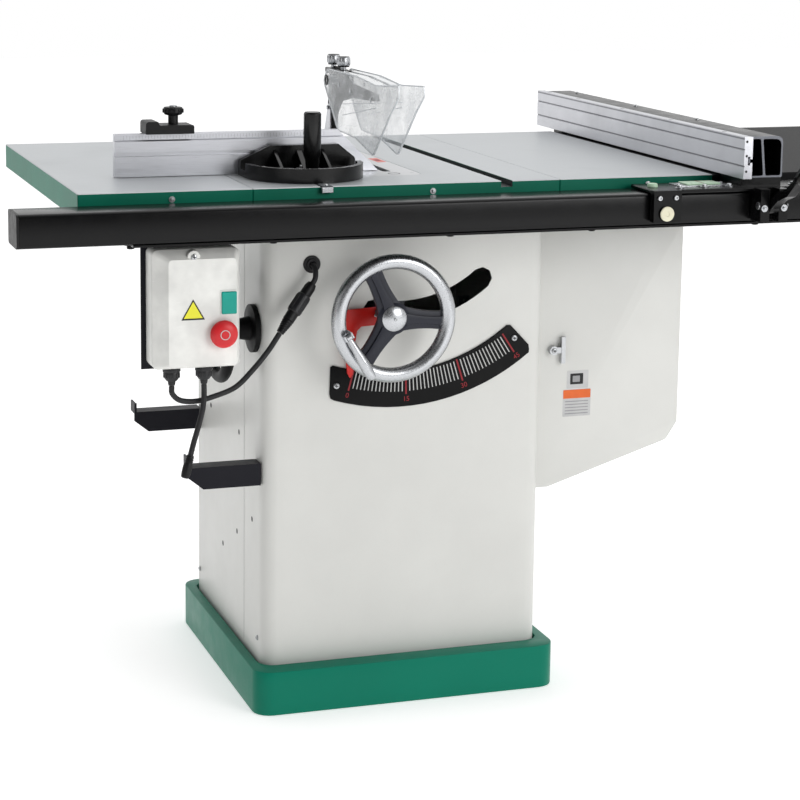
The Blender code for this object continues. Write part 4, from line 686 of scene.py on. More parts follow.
    def socket_screw(self, point, axis, radius=0.0045, finish="zinc_screw"):
        """Cylinder head with a hexagon socket."""
        axis = Vector(axis).normalized()
        h = radius * 0.9
        head = [(0, h * 0.45), (radius * 0.46, h * 0.45), (radius * 0.5, h)]
        head += [(radius * 0.92, h), (radius, h * 0.9), (radius, 0), (0, 0)]
        self.revolve(head, point, axis, finish, 28)

    def done(self, body, slot=None, angle=34):
        mesh = bpy.data.meshes.new(self.name)
        bmesh.ops.remove_doubles(self.bm, verts=self.bm.verts, dist=0.0000005)
        self.bm.to_mesh(mesh)
        self.bm.free()
        for finish in self.finishes:
            mesh.materials.append(MATS[finish])
        mesh.polygons.foreach_set("use_smooth", [True] * len(mesh.polygons))
        mesh.set_sharp_from_angle(angle=math.radians(angle))
        obj = bpy.data.objects.new(self.name, mesh)
        bpy.context.scene.collection.objects.link(obj)
        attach(obj, body)
        return obj


def turn_to(axis):
    return Vector(UP).rotation_difference(Vector(axis)).to_matrix().to_4x4()


def standing(point, axis):
    """Places a form at the point, its z axis along the given one."""
    return Matrix.Translation(Vector(point)) @ turn_to(axis)


def facing_front(x, y, z):
    """Places a flat outline on a front face: outline x runs right, outline y runs up."""
    return Matrix(((1, 0, 0, x), (0, 0, -1, y), (0, 1, 0, z), (0, 0, 0, 1)))


def facing_side(x, out):
    """Places a flat outline across x: outline x runs back, outline y runs up, z runs out (1 or -1)."""
    return Matrix(((0, 0, out, x), (1, 0, 0, 0), (0, 1, 0, 0), (0, 0, 0, 1)))


def circle_points(radius, steps=32, centre=(0, 0)):
    turns = [2 * math.pi * k / steps for k in range(steps)]
    return [(centre[0] + radius * math.cos(a), centre[1] + radius * math.sin(a)) for a in turns]


def hexagon_corners(first):
    turns = [math.radians(60 * k + first) for k in range(6)]
    return [(math.cos(a), math.sin(a)) for a in turns]


def rectangle(x0, y0, x1, y1):
    return [(x0, y0), (x1, y0), (x1, y1), (x0, y1)]


def grid(firsts, seconds):
    return [(a, b) for a in firsts for b in seconds]


def looped(profile):
    return profile + profile[:1]


def disc(radius, low, high):
    return [(0, low), (radius, low), (radius, high), (0, high)]


def hoop(inner, outer, low, high):
    return looped([(inner, low), (outer, low), (outer, high), (inner, high)])


def smooth_path(route, count):
    """Even points along a smooth curve through the route."""
    points = [Vector(p) for p in route]
    points = [points[0] * 2 - points[1]] + points + [points[-1] * 2 - points[-2]]
    dense = []
    for i in range(1, len(points) - 2):
        p0, p1, p2, p3 = points[i - 1:i + 3]
        for k in range(24):
            t = k / 24
            square = (2 * p0 - 5 * p1 + 4 * p2 - p3) * t * t
            cube = (3 * p1 - p0 - 3 * p2 + p3) * t ** 3
            dense.append(0.5 * ((2 * p1) + (p2 - p0) * t + square + cube))
    dense.append(points[-2].copy())
    steps = [0.0]
    for a, b in zip(dense, dense[1:]):
        steps.append(steps[-1] + (b - a).length)
    out = []
    j = 0
    for k in range(count):
        want = steps[-1] * k / (count - 1)
        while j < len(steps) - 2 and steps[j + 1] < want:
            j += 1
        span = steps[j + 1] - steps[j] or 1
        out.append(dense[j].lerp(dense[j + 1], min(1, max(0, (want - steps[j]) / span))))
    return out


# ---------------------------------------------------------------- cords
POWER_ROUTE = [
    (-0.3600, -0.3160, 0.5680), (-0.3600, -0.3165, 0.5560), (-0.3608, -0.3185, 0.5430),
    (-0.3645, -0.3205, 0.5240), (-0.3710, -0.3225, 0.5020), (-0.3780, -0.3240, 0.4800),
    (-0.3835, -0.3250, 0.4600),
]
MOTOR_ROUTE = [
    (-0.4105, -0.3160, 0.5680), (-0.4095, -0.3160, 0.5560), (-0.3960, -0.3120, 0.5440),
    (-0.3700, -0.3065, 0.5400), (-0.3400, -0.3020, 0.5450), (-0.3050, -0.2960, 0.5560),
    (-0.2750, -0.2860, 0.5790), (-0.2480, -0.2780, 0.6060), (-0.2278, -0.2723, 0.6320),
]
LEAD_RADIUS = 0.0043
CONNECTOR_START = Vector((-0.2270, -0.2720, 0.6330))
CONNECTOR_END = Vector((-0.1690, -0.2520, 0.7050))


def lead(name, node, points, with_pieces):
    data = bpy.data.curves.new(name, "CURVE")
    data.dimensions = "3D"
    data.bevel_depth = LEAD_RADIUS
    data.bevel_resolution = 4
    data.use_fill_caps = True
    data.resolution_u = 4
    spline = data.splines.new("POLY")
    spline.points.add(len(points) - 1)
    for point, place in zip(spline.points, points):
        point.co = (*place, 1)
    spline.use_smooth = True
    data.materials.append(MATS["rubber_sheath"])
    obj = bpy.data.objects.new(name, data)
    bpy.context.scene.collection.objects.link(obj)
    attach(obj, "machine")
    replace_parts(obj, node)


def make_cords():
    power = smooth_path(POWER_ROUTE, 40)
    lead("power_lead_sheath", "power_lead", power, [make_power_connector()])
    motor = smooth_path(MOTOR_ROUTE, 60)
    lead("motor_lead_sheath", "motor_lead", motor, [make_lead_connector()])


def make_lead_connector():
    """Two-part in-line connector: ribbed strain relief, locking collar, then the tail to the panel."""
    p = Piece("inline_connector")
    along = (CONNECTOR_END - CONNECTOR_START).normalized()
    length = (CONNECTOR_END - CONNECTOR_START).length
    relief = [(0, 0)]
    for k in range(6):
        z = 0.0005 + k * 0.0038
        r = 0.0062 + k * 0.00055
        relief += [(r, z), (r, z + 0.0024), (r - 0.0013, z + 0.0026), (r - 0.0013, z + 0.0036)]
    relief += [(0.0094, 0.024), (0.0094, length - 0.056), (0, length - 0.056)]
    p.revolve(relief, CONNECTOR_START, along, "black_plastic", 32)
    collar = [(0, length - 0.056), (0.0100, length - 0.056), (0.0114, length - 0.0545)]
    collar += [(0.0114, length - 0.024), (0.0100, length - 0.0225), (0, length - 0.0225)]
    p.revolve(collar, CONNECTOR_START, along, "gland_plastic", 40)
    low, high = (0.0106, -0.0011, length - 0.052), (0.0121, 0.0011, length - 0.027)
    p.ridges(10, low, high, "gland_plastic", standing(CONNECTOR_START, along))
    nose = [(0, length - 0.0225), (0.0092, length - 0.0225), (0.0092, length - 0.007)]
    nose += [(0.0072, length - 0.0005), (0.0048, length - 0.0005), (0, length - 0.0005)]
    p.revolve(nose, CONNECTOR_START, along, "black_plastic", 32)
    tail = [CONNECTOR_END - along * 0.004, CONNECTOR_END + along * 0.008, (-0.1615, -0.2455, 0.7215)]
    tail += [(-0.161, -0.2380, 0.7285), (-0.161, -0.2250, 0.731), (-0.161, -0.2100, 0.731)]
    p.tube(smooth_path(tail, 22), LEAD_RADIUS, "rubber_sheath", 16)
    obj = p.done("machine", "black_plastic")
    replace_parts(obj, "motor_lead_connector")
    return obj


# ---------------------------------------------------------------- handwheels
def spoke_outline(inner, outer, at_hub, waist, at_rim):
    """Half-width runs wide at the hub, narrow at the waist and wide again at the rim."""
    left, right = [], []
    for k in range(13):
        t = k / 12
        x = inner + (outer - inner) * t
        half = waist + (at_hub - waist) * (1 - t) ** 3 + (at_rim - waist) * t ** 5
        left.append((x, half))
        right.append((x, -half))
    return right + left[::-1]


def wheel_form(p, centre, axis, radius, tube, first, rim, arm, hub_profile, spoke, dish=0.004):
    """A round rim, three ribbed spokes (the first at that many degrees) and a turned hub."""
    turns = [2 * math.pi * k / 28 for k in range(28)]
    circle = [(radius - tube + tube * math.cos(a), tube * 0.95 * math.sin(a)) for a in turns]
    p.revolve(looped(circle), centre, axis, rim, 112)
    place = standing(centre, axis)
    for k in range(3):
        turn = place @ Matrix.Rotation(math.radians(first + 120 * k), 4, "Z")
        outline = spoke_outline(0.010, radius - tube, *spoke)
        p.prism(outline, -0.0095, 0.0005, arm, turn, 0.0016)
        rib = spoke_outline(0.012, radius - tube - 0.002, spoke[0] * 0.5, spoke[1] * 0.42, spoke[2] * 0.5)
        p.prism(rib, 0.0, dish, arm, turn, 0.0012)
    p.revolve(hub_profile, centre, axis, arm, 56)


def make_height_wheel():
    p = Piece("raise_wheel")
    lo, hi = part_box("height_handwheel")
    centre = Vector(((lo.x + hi.x) / 2, -0.288, (lo.z + hi.z) / 2))
    hub = [(0.0079, -0.022), (0.0195, -0.022), (0.0195, -0.008), (0.0265, -0.005)]
    hub = looped(hub + [(0.0265, 0.0), (0.0205, 0.0042), (0.0079, 0.0042)])
    spoke = (0.0215, 0.0135, 0.0165)
    wheel_form(p, centre, FRONT, 0.1033, 0.0120, 115, "polished_rim", "wheel_spoke", hub, spoke)
    cap = [(0.0, 0.0100), (0.0060, 0.0098), (0.0120, 0.0086), (0.0180, 0.0066), (0.0203, 0.0048)]
    cap += [(0.0205, 0.0030), (0.0, 0.0030)]
    p.revolve(cap, centre, FRONT, "polished_rim", 56)
    p.socket_screw(centre + Vector((0, -0.0098, 0)), FRONT, 0.0026)
    lean = math.radians(30.26)
    pin = centre + Vector((-0.081, -0.0205, -0.022))
    hinge = Vector((math.cos(lean), 0, math.sin(lean)))
    for side in (-1, 1):
        place = Matrix.Translation(pin + hinge * side * 0.0063) @ Matrix.Rotation(-lean, 4, "Y")
        p.block((-0.0015, -0.0045, -0.0052), (0.0015, 0.0175, 0.0052), "polished_rim", 0.0011, place)
    obj = p.done("height_wheel", "polished_wheel")
    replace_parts(obj, "height_handwheel")
    make_wheel_handle(pin, hinge, lean)


def make_wheel_handle(pin, hinge, lean):
    """The handle, folded against the wheel, on its hinge pin."""
    p = Piece("raise_wheel_handle")
    way = Vector((math.sin(lean), 0, -math.cos(lean)))
    barrel = [(0, -0.0045), (0.0056, -0.0045), (0.0062, -0.0039)]
    barrel += [(0.0062, 0.0039), (0.0056, 0.0045), (0, 0.0045)]
    p.revolve(barrel, pin, hinge, "polished_rim", 36)
    p.revolve(disc(0.0022, -0.0078, 0.0078), pin, hinge, "zinc_screw", 20)
    grip = [(0.0, 0.0), (0.0036, 0.0), (0.0050, 0.012), (0.0062, 0.024), (0.0076, 0.036), (0.0086, 0.050)]
    grip += [(0.0088, 0.060), (0.0082, 0.070), (0.0074, 0.0765), (0.0056, 0.0795), (0.0, 0.0805)]
    p.revolve(grip, pin, way, "polished_rim", 40)
    obj = p.done("height_handle", "polished_wheel")
    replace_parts(obj, "height_wheel_handle")


def make_tilt_wheel():
    p = Piece("tilt_wheel")
    lo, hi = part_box("tilt_handwheel")
    y, z = (lo.y + hi.y) / 2, (lo.z + hi.z) / 2
    centre = Vector((-0.300, y, z))
    hub = [(0.0, -0.019), (0.0190, -0.019), (0.0195, -0.008), (0.0240, -0.005)]
    hub += [(0.0240, 0.0), (0.0190, 0.0045), (0.0, 0.0060)]
    black, spoke = "black_powder", (0.0165, 0.0085, 0.0125)
    wheel_form(p, centre, LEFT, 0.0845, 0.0100, 90, black, black, hub, spoke, 0.003)
    cap = [(0, 0.003), (0.0135, 0.003), (0.0125, 0.0062), (0.004, 0.0078), (0, 0.0078)]
    p.revolve(cap, centre, LEFT, "polished_rim", 44)
    for low, high, r in ((-0.304, -0.282, 0.010), (-0.290, 0.0198, 0.0073)):
        p.revolve(disc(r, 0, high - low), (low, y, z), RIGHT, "turned_steel", 32)
    worm, lead_of_worm, start, per_turn = [], 0.010, BLADE_X - 0.0127, 30
    for k in range(76):
        a = 2 * math.pi * k / per_turn
        x = start + lead_of_worm * k / per_turn
        worm.append((x, y + 0.0078 * math.cos(a), z + 0.0078 * math.sin(a)))
    p.tube(worm, 0.0024, "turned_steel", 8)
    obj = p.done("tilt_wheel", "black_enamel")
    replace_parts(obj, "tilt_handwheel")


# ---------------------------------------------------------------- switch
def rounded_rectangle(x0, y0, x1, y1, r, steps=6):
    points = []
    corners = ((x1 - r, y1 - r, 0), (x0 + r, y1 - r, 90), (x0 + r, y0 + r, 180), (x1 - r, y0 + r, 270))
    for cx, cy, start in corners:
        for k in range(steps + 1):
            a = math.radians(start + 90 * k / steps)
            points.append((cx + r * math.cos(a), cy + r * math.sin(a)))
    return points


def inset(outline, depth):
    """The outline drawn in towards its middle by about the depth."""
    cx = sum(x for x, _ in outline) / len(outline)
    cy = sum(y for _, y in outline) / len(outline)
    reach = max(math.hypot(x - cx, y - cy) for x, y in outline)
    k = 1 - depth / reach
    return [(cx + (x - cx) * k, cy + (y - cy) * k) for x, y in outline]


def make_switch():
    lo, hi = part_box("switch_box")
    front = facing_front(0, lo.y, 0)
    make_switch_housing(lo, hi, front)
    make_switch_marks(front)
    make_stop_button(lo.y)


def make_switch_housing(lo, hi, front):
    """Back box, a grey seam and a chamfered lid, with a screw boss at the top."""
    p = Piece("switch_housing")
    back_box = rounded_rectangle(lo.x, lo.z, hi.x, hi.z, 0.010)
    p.prism(back_box, -(hi.y - lo.y), -0.0195, "switch_white", front, 0.0008)
    rim = 0.0012
    seam = rounded_rectangle(lo.x + rim, lo.z + rim, hi.x - rim, hi.z - rim, 0.009)
    p.prism(seam, -0.0200, -0.0180, "grey_mark_and_painted_shade", front)
    rim = 0.0004
    base = rounded_rectangle(lo.x + rim, lo.z + rim, hi.x - rim, hi.z - rim, 0.0085)
    face = rounded_rectangle(lo.x + 0.0215, lo.z + 0.0050, hi.x - 0.0085, hi.z - 0.0135, 0.0065)
    rows = [(base, -0.0185), (base, -0.0165), (face, -0.0006), (inset(face, 0.0006), 0.0)]
    p.loft(rows, "switch_white", front)
    mid = -0.3815
    ear = circle_points(0.0098, 28, (mid, hi.z - 0.0105))
    p.prism(ear, -0.0180, -0.0018, "switch_white", front, 0.0010)
    p.pan_screw((mid, lo.y + 0.0016, hi.z - 0.0105), FRONT, 0.0046)
    obj = p.done("machine", "switch_white")
    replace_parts(obj, "switch_box")


def make_switch_marks(front):
    """The start button's bezel and a plain yellow triangle."""
    p = Piece("switch_marks")
    lo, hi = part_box("start_button")
    rim = 0.0022
    bezel = rounded_rectangle(lo.x - rim, lo.z - rim, hi.x + rim, hi.z + rim, 0.0018)
    p.prism(bezel, -0.004, 0.0012, "switch_white", front, 0.0005)
    tx, tz, half = -0.3835, 0.6860, 0.0182
    tall = half * 1.74
    outer = [(tx - half, tz - tall * 0.36), (tx + half, tz - tall * 0.36), (tx, tz + tall * 0.64)]
    inner = [(tx + (x - tx) * 0.80, tz + 0.0003 + (z - tz) * 0.80) for x, z in outer]
    p.prism(outer, -0.001, 0.00035, "black_mark_and_painted_shade", front)
    p.prism(inner, -0.001, 0.00055, "hazard_yellow", front)
    p.done("machine", "switch_white")


def make_stop_button(box_front):
    """Red mushroom head with a plain raised ring."""
    p = Piece("stop_mushroom")
    lo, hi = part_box("stop_button")
    base = Vector(((lo.x + hi.x) / 2, box_front + 0.006, (lo.z + hi.z) / 2))
    head = [(0, 0.0243), (0.0060, 0.0243), (0.0120, 0.0236), (0.0165, 0.0220), (0.0198, 0.0196)]
    head += [(0.0213, 0.0172), (0.0214, 0.0150), (0.0205, 0.0131), (0.0115, 0.0121), (0.0113, 0.0), (0, 0)]
    p.revolve(head, base, FRONT, "signal_red", 56)
    top = base + Vector((0, -0.0240, 0))
    ring = looped([(0.0064, 0.0), (0.0076, 0.0), (0.0076, 0.00045), (0.0064, 0.0005)])
    p.revolve(ring, top, FRONT, "mark_white", 48)
    obj = p.done("stop", "signal_red")
    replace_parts(obj, "stop_button")


# ---------------------------------------------------------------- front panel
SCALE_ZERO, SCALE_FULL = -14.6, 33.8


def arc(radius, degrees):
    """A point at that radius, turned from straight down."""
    return (radius * math.sin(math.radians(degrees)), -radius * math.cos(math.radians(degrees)))


def make_angle_marks():
    lo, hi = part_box("angle_scale")
    pivot = Vector((BLADE_X, lo.y, TABLE_TOP))
    place = facing_front(pivot.x, pivot.y, pivot.z)
    make_scale_plate(place, hi.y - lo.y)
    make_scale_lines(place)
    make_scale_screws(pivot)
    for k, text in enumerate(("0", "15", "30", "45")):
        make_scale_number(place, k, text)


def make_scale_plate(place, thickness):
    p = Piece("angle_scale_plate")
    outline = [arc(0.3740 - 0.004 * (k / 16) ** 2, -17.6 + 54.6 * k / 16) for k in range(17)]
    outline += [arc(0.3660, 37.6), arc(0.3590, 38.2), arc(0.3120, 37.4), arc(0.3080, 36.4)]
    outline += [arc(0.3080 + 0.0115 * (k / 16), 35.6 - 53.6 * k / 16) for k in range(17)]
    outline += [arc(0.3205, -21.0), arc(0.3245, -21.6), arc(0.3660, -19.2), arc(0.3725, -18.6)]
    p.prism(outline, 0.0, -thickness, "black_powder", place, 0.0006)
    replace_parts(p.done("machine", "black_enamel"), "angle_scale")


def make_scale_lines(place):
    """A line each degree, the 0, 15, 30 and 45 ones longer, wider and red."""
    p = Piece("angle_scale_marks")
    for k in range(46):
        angle = math.radians(SCALE_ZERO + (SCALE_FULL - SCALE_ZERO) * k / 45)
        inner, outer, half, finish = (0.3170, 0.3480, 0.00078, "mark_white")
        if k % 15 == 0:
            inner, outer, half, finish = (0.3150, 0.3530, 0.0013, "mark_red")
        turn = place @ Matrix.Rotation(angle, 4, "Z")
        p.prism(rectangle(-half, -outer, half, -inner), SUNK, 0.00022, finish, turn)
    p.done("machine", "black_enamel")


def make_scale_screws(pivot):
    p = Piece("angle_scale_screws")
    for angle, radius in ((-18.2, 0.350), (36.0, 0.3335)):
        x, z = arc(radius, angle)
        p.pan_screw((pivot.x + x, pivot.y, pivot.z + z), FRONT, 0.0052)
    p.done("machine", "bright_steel")


def make_scale_number(place, k, text):
    angle = math.radians(SCALE_ZERO + (SCALE_FULL - SCALE_ZERO) * k / 3)
    data = bpy.data.curves.new(f"angle_number_{k}", "FONT")
    data.body = text
    data.size = 0.0115
    data.extrude = 0.0003
    data.align_x, data.align_y = "CENTER", "CENTER"
    obj = bpy.data.objects.new(f"angle_number_{k}", data)
    bpy.context.scene.collection.objects.link(obj)
    below = Matrix.Translation((0, -0.3610, 0.0002))
    obj.matrix_world = place @ Matrix.Rotation(angle, 4, "Z") @ below
    bpy.context.view_layer.update()
    mesh = bpy.data.meshes.new_from_object(obj.evaluated_get(bpy.context.evaluated_depsgraph_get()))
    solid = bpy.data.objects.new(f"angle_numeral_{k}", mesh)
    solid.matrix_world = obj.matrix_world
    bpy.data.objects.remove(obj)
    bpy.context.scene.collection.objects.link(solid)
    mesh.materials.clear()
    mesh.materials.append(MATS["mark_red"])
    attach(solid, "machine")


def make_pointer():
    """Red sheet pointer: a cranked arm from the carriage, then a narrow leg down to the scale."""
    lo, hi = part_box("tilt_pointer")
    p = Piece("tilt_pointer_plate")
    arm = [(-0.0330, 0.6600), (-0.1040, 0.6560), (-0.1092, 0.6520), (-0.1087, 0.5990)]
    arm += [(-0.1032, 0.5530), (-0.0985, 0.5440), (-0.0940, 0.5500), (-0.0910, 0.5980)]
    arm += [(-0.0870, 0.6210), (-0.0800, 0.6278), (-0.0330, 0.6300)]
    p.prism(arm, -(hi.y - lo.y), 0.0, "pointer_red", facing_front(0, lo.y, 0), 0.0005)
    for x in (-0.0430, -0.0560):
        p.pan_screw((x, lo.y, 0.6450), FRONT, 0.0030)
    obj = p.done("tilt_carriage", "signal_red")
    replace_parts(obj, "tilt_pointer")


def make_cabinet_details():
    lo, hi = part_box("cabinet_shell")
    p = Piece("cabinet_fittings")
    side = Matrix(((0, 0, -1, lo.x), (-1, 0, 0, 0), (0, 1, 0, 0), (0, 0, 0, 1)))
    half = 0.0004
    for y, finish in ((-0.1055, "cream_enamel"), (-0.1035, "grey_mark_and_painted_shade")):
        p.prism(rectangle(-y - half, 0.080, -y + half, hi.z - 0.004), SUNK, 0.00015, finish, side)
    # Black discs in the side wall are painted shade standing in for holes.
    hole = [(0, 0.0002), (0.0030, 0.0002), (0.0046, 0.00012), (0.0046, -0.0006), (0, -0.0006)]
    holes = ((0.1214, 0.4301), (-0.0703, 0.4271), (-0.1542, 0.3006), (-0.0575, 0.2531), (0.0376, 0.2050))
    for y, z in holes:
        p.revolve(hole, (lo.x, y, z), LEFT, "black_mark_and_painted_shade", 20)
    for y, z in grid((-0.190, 0.204), (0.110, 0.790)):
        p.pan_screw((lo.x, y, z), LEFT, 0.0042)
    for x, z in grid((-0.180, 0.180), (0.330, 0.770)):
        p.pan_screw((x, hi.y, z), BACK, 0.0042)
    p.done("machine", "cream_enamel")
    make_access_panel(hi.y)


def make_access_panel(wall):
    """Louvred sheet panel on the cabinet's back."""
    p = Piece("rear_access_panel")
    back = Matrix(((-1, 0, 0, 0), (0, 0, 1, wall), (0, 1, 0, 0), (0, 0, 0, 1)))
    sheet = rounded_rectangle(-0.150, 0.300, 0.150, 0.600, 0.012)
    p.prism(sheet, -0.0006, 0.0014, "cream_enamel", back, 0.0006)
    for i in range(7):
        z = 0.36 + i * 0.028
        p.prism(rectangle(-0.085, z, 0.085, z + 0.006), 0.0008, 0.0040, "cream_enamel", back, 0.0022)
        # A black strip under each louvre is painted shade.
        p.prism(rectangle(-0.083, z - 0.0022, 0.083, z), 0.0008, 0.0017, "black_mark_and_painted_shade", back)
    for x, z in grid((-0.138, 0.138), (0.312, 0.588)):
        p.pan_screw((x, wall + 0.0014, z), BACK, 0.0040)
    p.done("machine", "cream_enamel")


def make_base_details():
    """A plug hole in the middle of the plinth's back, drawn as a black disc of painted shade."""
    p = Piece("base_plug_hole_shade")
    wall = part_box("base_plinth")[1].y
    p.revolve(disc(0.010, 0, 0.0004), (0.0, wall, 0.030), BACK, "black_mark_and_painted_shade", 24)
    p.done("machine", "green_enamel")


LABEL_SHAPES = (
    (0.2924, 0.4970, 0.3316, 0.5276, 0.0015, 0.00025, "mark_white"),
    (0.2985, 0.5040, 0.3220, 0.5225, 0.0010, 0.00045, "black_mark_and_painted_shade"),
    (0.3030, 0.5080, 0.3160, 0.5185, 0.0010, 0.00060, "grey_mark_and_painted_shade"),
    (0.2861, 0.4491, 0.3366, 0.4953, 0.0015, 0.00025, "mark_white"),
    (0.2866, 0.4800, 0.3361, 0.4948, 0.0010, 0.00045, "mark_orange"),
)


def make_cover_details():
    p = Piece("cover_label")
    place = facing_front(0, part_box("motor_cover")[0].y, 0)
    for x0, z0, x1, z1, corner, height, finish in LABEL_SHAPES:
        p.prism(rounded_rectangle(x0, z0, x1, z1, corner), SUNK, height, finish, place)
    for k in range(5):
        z = 0.4740 - k * 0.0052
        p.prism(rectangle(0.2900, z, 0.3320, z + 0.0016), SUNK, 0.00040, "grey_mark_and_painted_shade", place)
    p.done("cover_door", "cream_enamel")
    make_hinge_leaves()
    r = Piece("latch_trim")
    r.pan_screw((0.264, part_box("cover_latch")[0].y, 0.5655), FRONT, 0.0046)
    r.done("latch", "bright_steel")


def make_hinge_leaves():
    """Three hinges: a moving leaf inside the cover and a fixed leaf on the cabinet's wall."""
    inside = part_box("motor_cover")[1].y - 0.0025
    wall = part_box("cabinet_shell")[1].x
    moving, fixed = Piece("cover_hinge_leaves"), Piece("cabinet_hinge_leaves")
    plate, gap, half = 0.0014, 0.0001, 0.026
    for z in (0.400, 0.560, 0.720):
        low, high = (0.2470, inside - plate, z - half), (0.2690, inside - gap, z + half)
        moving.block(low, high, "zinc_screw", 0.0005)
        low, high = (wall + gap, 0.1850, z - half), (wall + plate, 0.2070, z + half)
        fixed.block(low, high, "zinc_screw", 0.0005)
        for dz in (-0.017, 0.017):
            moving.pan_screw((0.2610, inside - plate, z + dz), FRONT, 0.0030)
            fixed.pan_screw((wall + plate, 0.1920, z + dz), RIGHT, 0.0030)
    moving.done("cover_door", "bright_steel")
    fixed.done("machine", "bright_steel")


# ---------------------------------------------------------------- table, rails and extension
def make_rail_details():
    p = Piece("rail_bolts")
    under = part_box("front_angle")[0].z
    for x in (-0.4765, -0.256, 0.030, 0.270, 0.560, 0.860, 1.160, 1.440):
        p.hex_bolt((x, -0.335, under), DOWN, 0.0105, 0.0055, "black_powder")
    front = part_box("left_wing")[0].y
    for x in (-0.403, 0.0165, 0.387):
        p.hex_bolt((x, front, 0.8515), FRONT, 0.0048, 0.0024, "zinc_screw")
    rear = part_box("rear_rail")
    for x in (-0.420, -0.150, 0.120, 0.390, 0.700, 1.000, 1.300):
        p.hex_bolt((x, rear[0].y + 0.0050, 0.826), BACK, 0.010, 0.0045)
    p.done("machine", "black_enamel")
    q = Piece("rail_cap_trim")
    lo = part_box("rail_cap_left")[0]
    trim = rounded_rectangle(lo.y + 0.007, 0.803, -0.304, 0.840, 0.004)
    q.prism(trim, -0.002, -0.0001, "black_plastic", facing_side(lo.x, -1), 0.0004)
    q.done("machine", "black_plastic")


def make_insert_details():
    lo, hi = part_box("table_insert")
    p = Piece("insert_screws_and_hole_shade")
    screw = [(0, -0.0006), (0.0018, -0.0006), (0.0022, 0.00012)]
    screw += [(0.0034, 0.00015), (0.0034, -0.0010), (0, -0.0010)]
    sides, rows = (lo.x + 0.010, hi.x - 0.010), (lo.y + 0.030, (lo.y + hi.y) / 2, hi.y - 0.030)
    for x, y in grid(sides, rows):
        p.revolve(screw, (x, y, hi.z), UP, "zinc_screw", 20)
    # A black ring round the finger hole is painted shade.
    finger_hole = looped([(0.0085, -0.001), (0.0100, -0.001), (0.0100, 0.00015), (0.0085, 0.0001)])
    hole_at = (0.5 * (lo.x + hi.x) + 0.006, lo.y + 0.026, hi.z)
    p.revolve(finger_hole, hole_at, UP, "black_mark_and_painted_shade", 32)
    p.done("machine", "insert_grey")
    q = Piece("insert_mark")
    place = Matrix.Translation((0, 0, hi.z))
    patch = [(0.0180, -0.010), (0.0345, -0.006), (0.0345, 0.050), (0.0180, 0.046)]
    q.prism(patch, SUNK, 0.00015, "insert_pink", place)
    patch = [(0.0215, 0.010), (0.0310, 0.012), (0.0310, 0.030), (0.0215, 0.028)]
    q.prism(patch, SUNK, 0.0003, "mark_red", place)
    q.done("machine", "insert_grey")


def make_extension_details():
    """Rubber feet under the two legs."""
    p = Piece("extension_feet_and_screws")
    foot = [(0, 0.0), (0.0205, 0.0), (0.0215, 0.003), (0.0195, 0.0065), (0.010, 0.0090), (0, 0.0090)]
    for node in ("extension_leg_front", "extension_leg_rear"):
        lo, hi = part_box(node)
        cx, cy = (lo.x + hi.x) / 2, (lo.y + hi.y) / 2
        p.revolve(foot, (cx, cy, 0.0), UP, "rubber_sheath", 36)
    p.done("machine", "lead_rubber")


# ---------------------------------------------------------------- guard and blade
def shield_edge(x):
    """The shield's outline at one width, its corners eased."""
    corners = [(0.146, 0.991), (0.062, 0.9125), (-0.039, 0.910), (-0.134, 0.8915), (-0.222, 0.970)]
    corners += [(-0.2585, 0.9970), (-0.2580, 1.0130), (-0.149, 1.0058), (-0.044, 1.0126), (0.124, 1.0118)]
    path = []
    for before, here, after in zip(corners[-1:] + corners[:-1], corners, corners[1:] + corners[:1]):
        here, before, after = Vector(here), Vector(before), Vector(after)
        start = here + (before - here).normalized() * 0.010
        end = here + (after - here).normalized() * 0.010
        if (before - here).length < 0.03 or (after - here).length < 0.03:
            start, end = here.lerp(before, 0.12), here.lerp(after, 0.12)
        for t in (0.0, 0.25, 0.5, 0.75, 1.0):
            point = start * (1 - t) ** 2 + here * 2 * t * (1 - t) + end * t * t
            path.append((x, point.x, point.y))
    return path


def make_guard_details():
    make_guard_knobs()
    make_spreader_hardware()
    for body, side in (("left_guard", -1), ("right_guard", 1)):
        make_shield_fittings(body, side)


def make_guard_knobs():
    """Two knurled knobs on top of the spreader."""
    x = BLADE_X
    p = Piece("guard_knobs")
    for y in (0.158, 0.100):
        stem = [(0, 1.0116), (0.0048, 1.0116), (0.0048, 1.0185), (0.0105, 1.0190), (0.0112, 1.0202)]
        stem += [(0.0112, 1.0325), (0.0102, 1.0340), (0.0060, 1.0343), (0, 1.0343)]
        p.revolve(stem, (x, y, 0), UP, "polished_rim", 40)
        low, high = (0.0105, -0.0010, 1.0212), (0.0118, 0.0010, 1.0320)
        p.ridges(14, low, high, "polished_rim", Matrix.Translation((x, y, 0)))
    p.done("tilt_carriage", "bright_steel")


def make_spreader_hardware():
    x = BLADE_X
    q = Piece("spreader_hardware")
    q.block((x - 0.0112, 0.082, 1.0030), (x + 0.0112, 0.174, 1.0118), "black_gloss", 0.0020)
    for y, z in ((0.125, 0.993), (0.170, 0.980), (0.166, 0.925)):
        q.hex_bolt((x + 0.0012, y, z), RIGHT, 0.0065, 0.0030)
        q.hex_bolt((x - 0.0012, y, z), LEFT, 0.0065, 0.0030)
    q.done("tilt_carriage", "black_enamel")


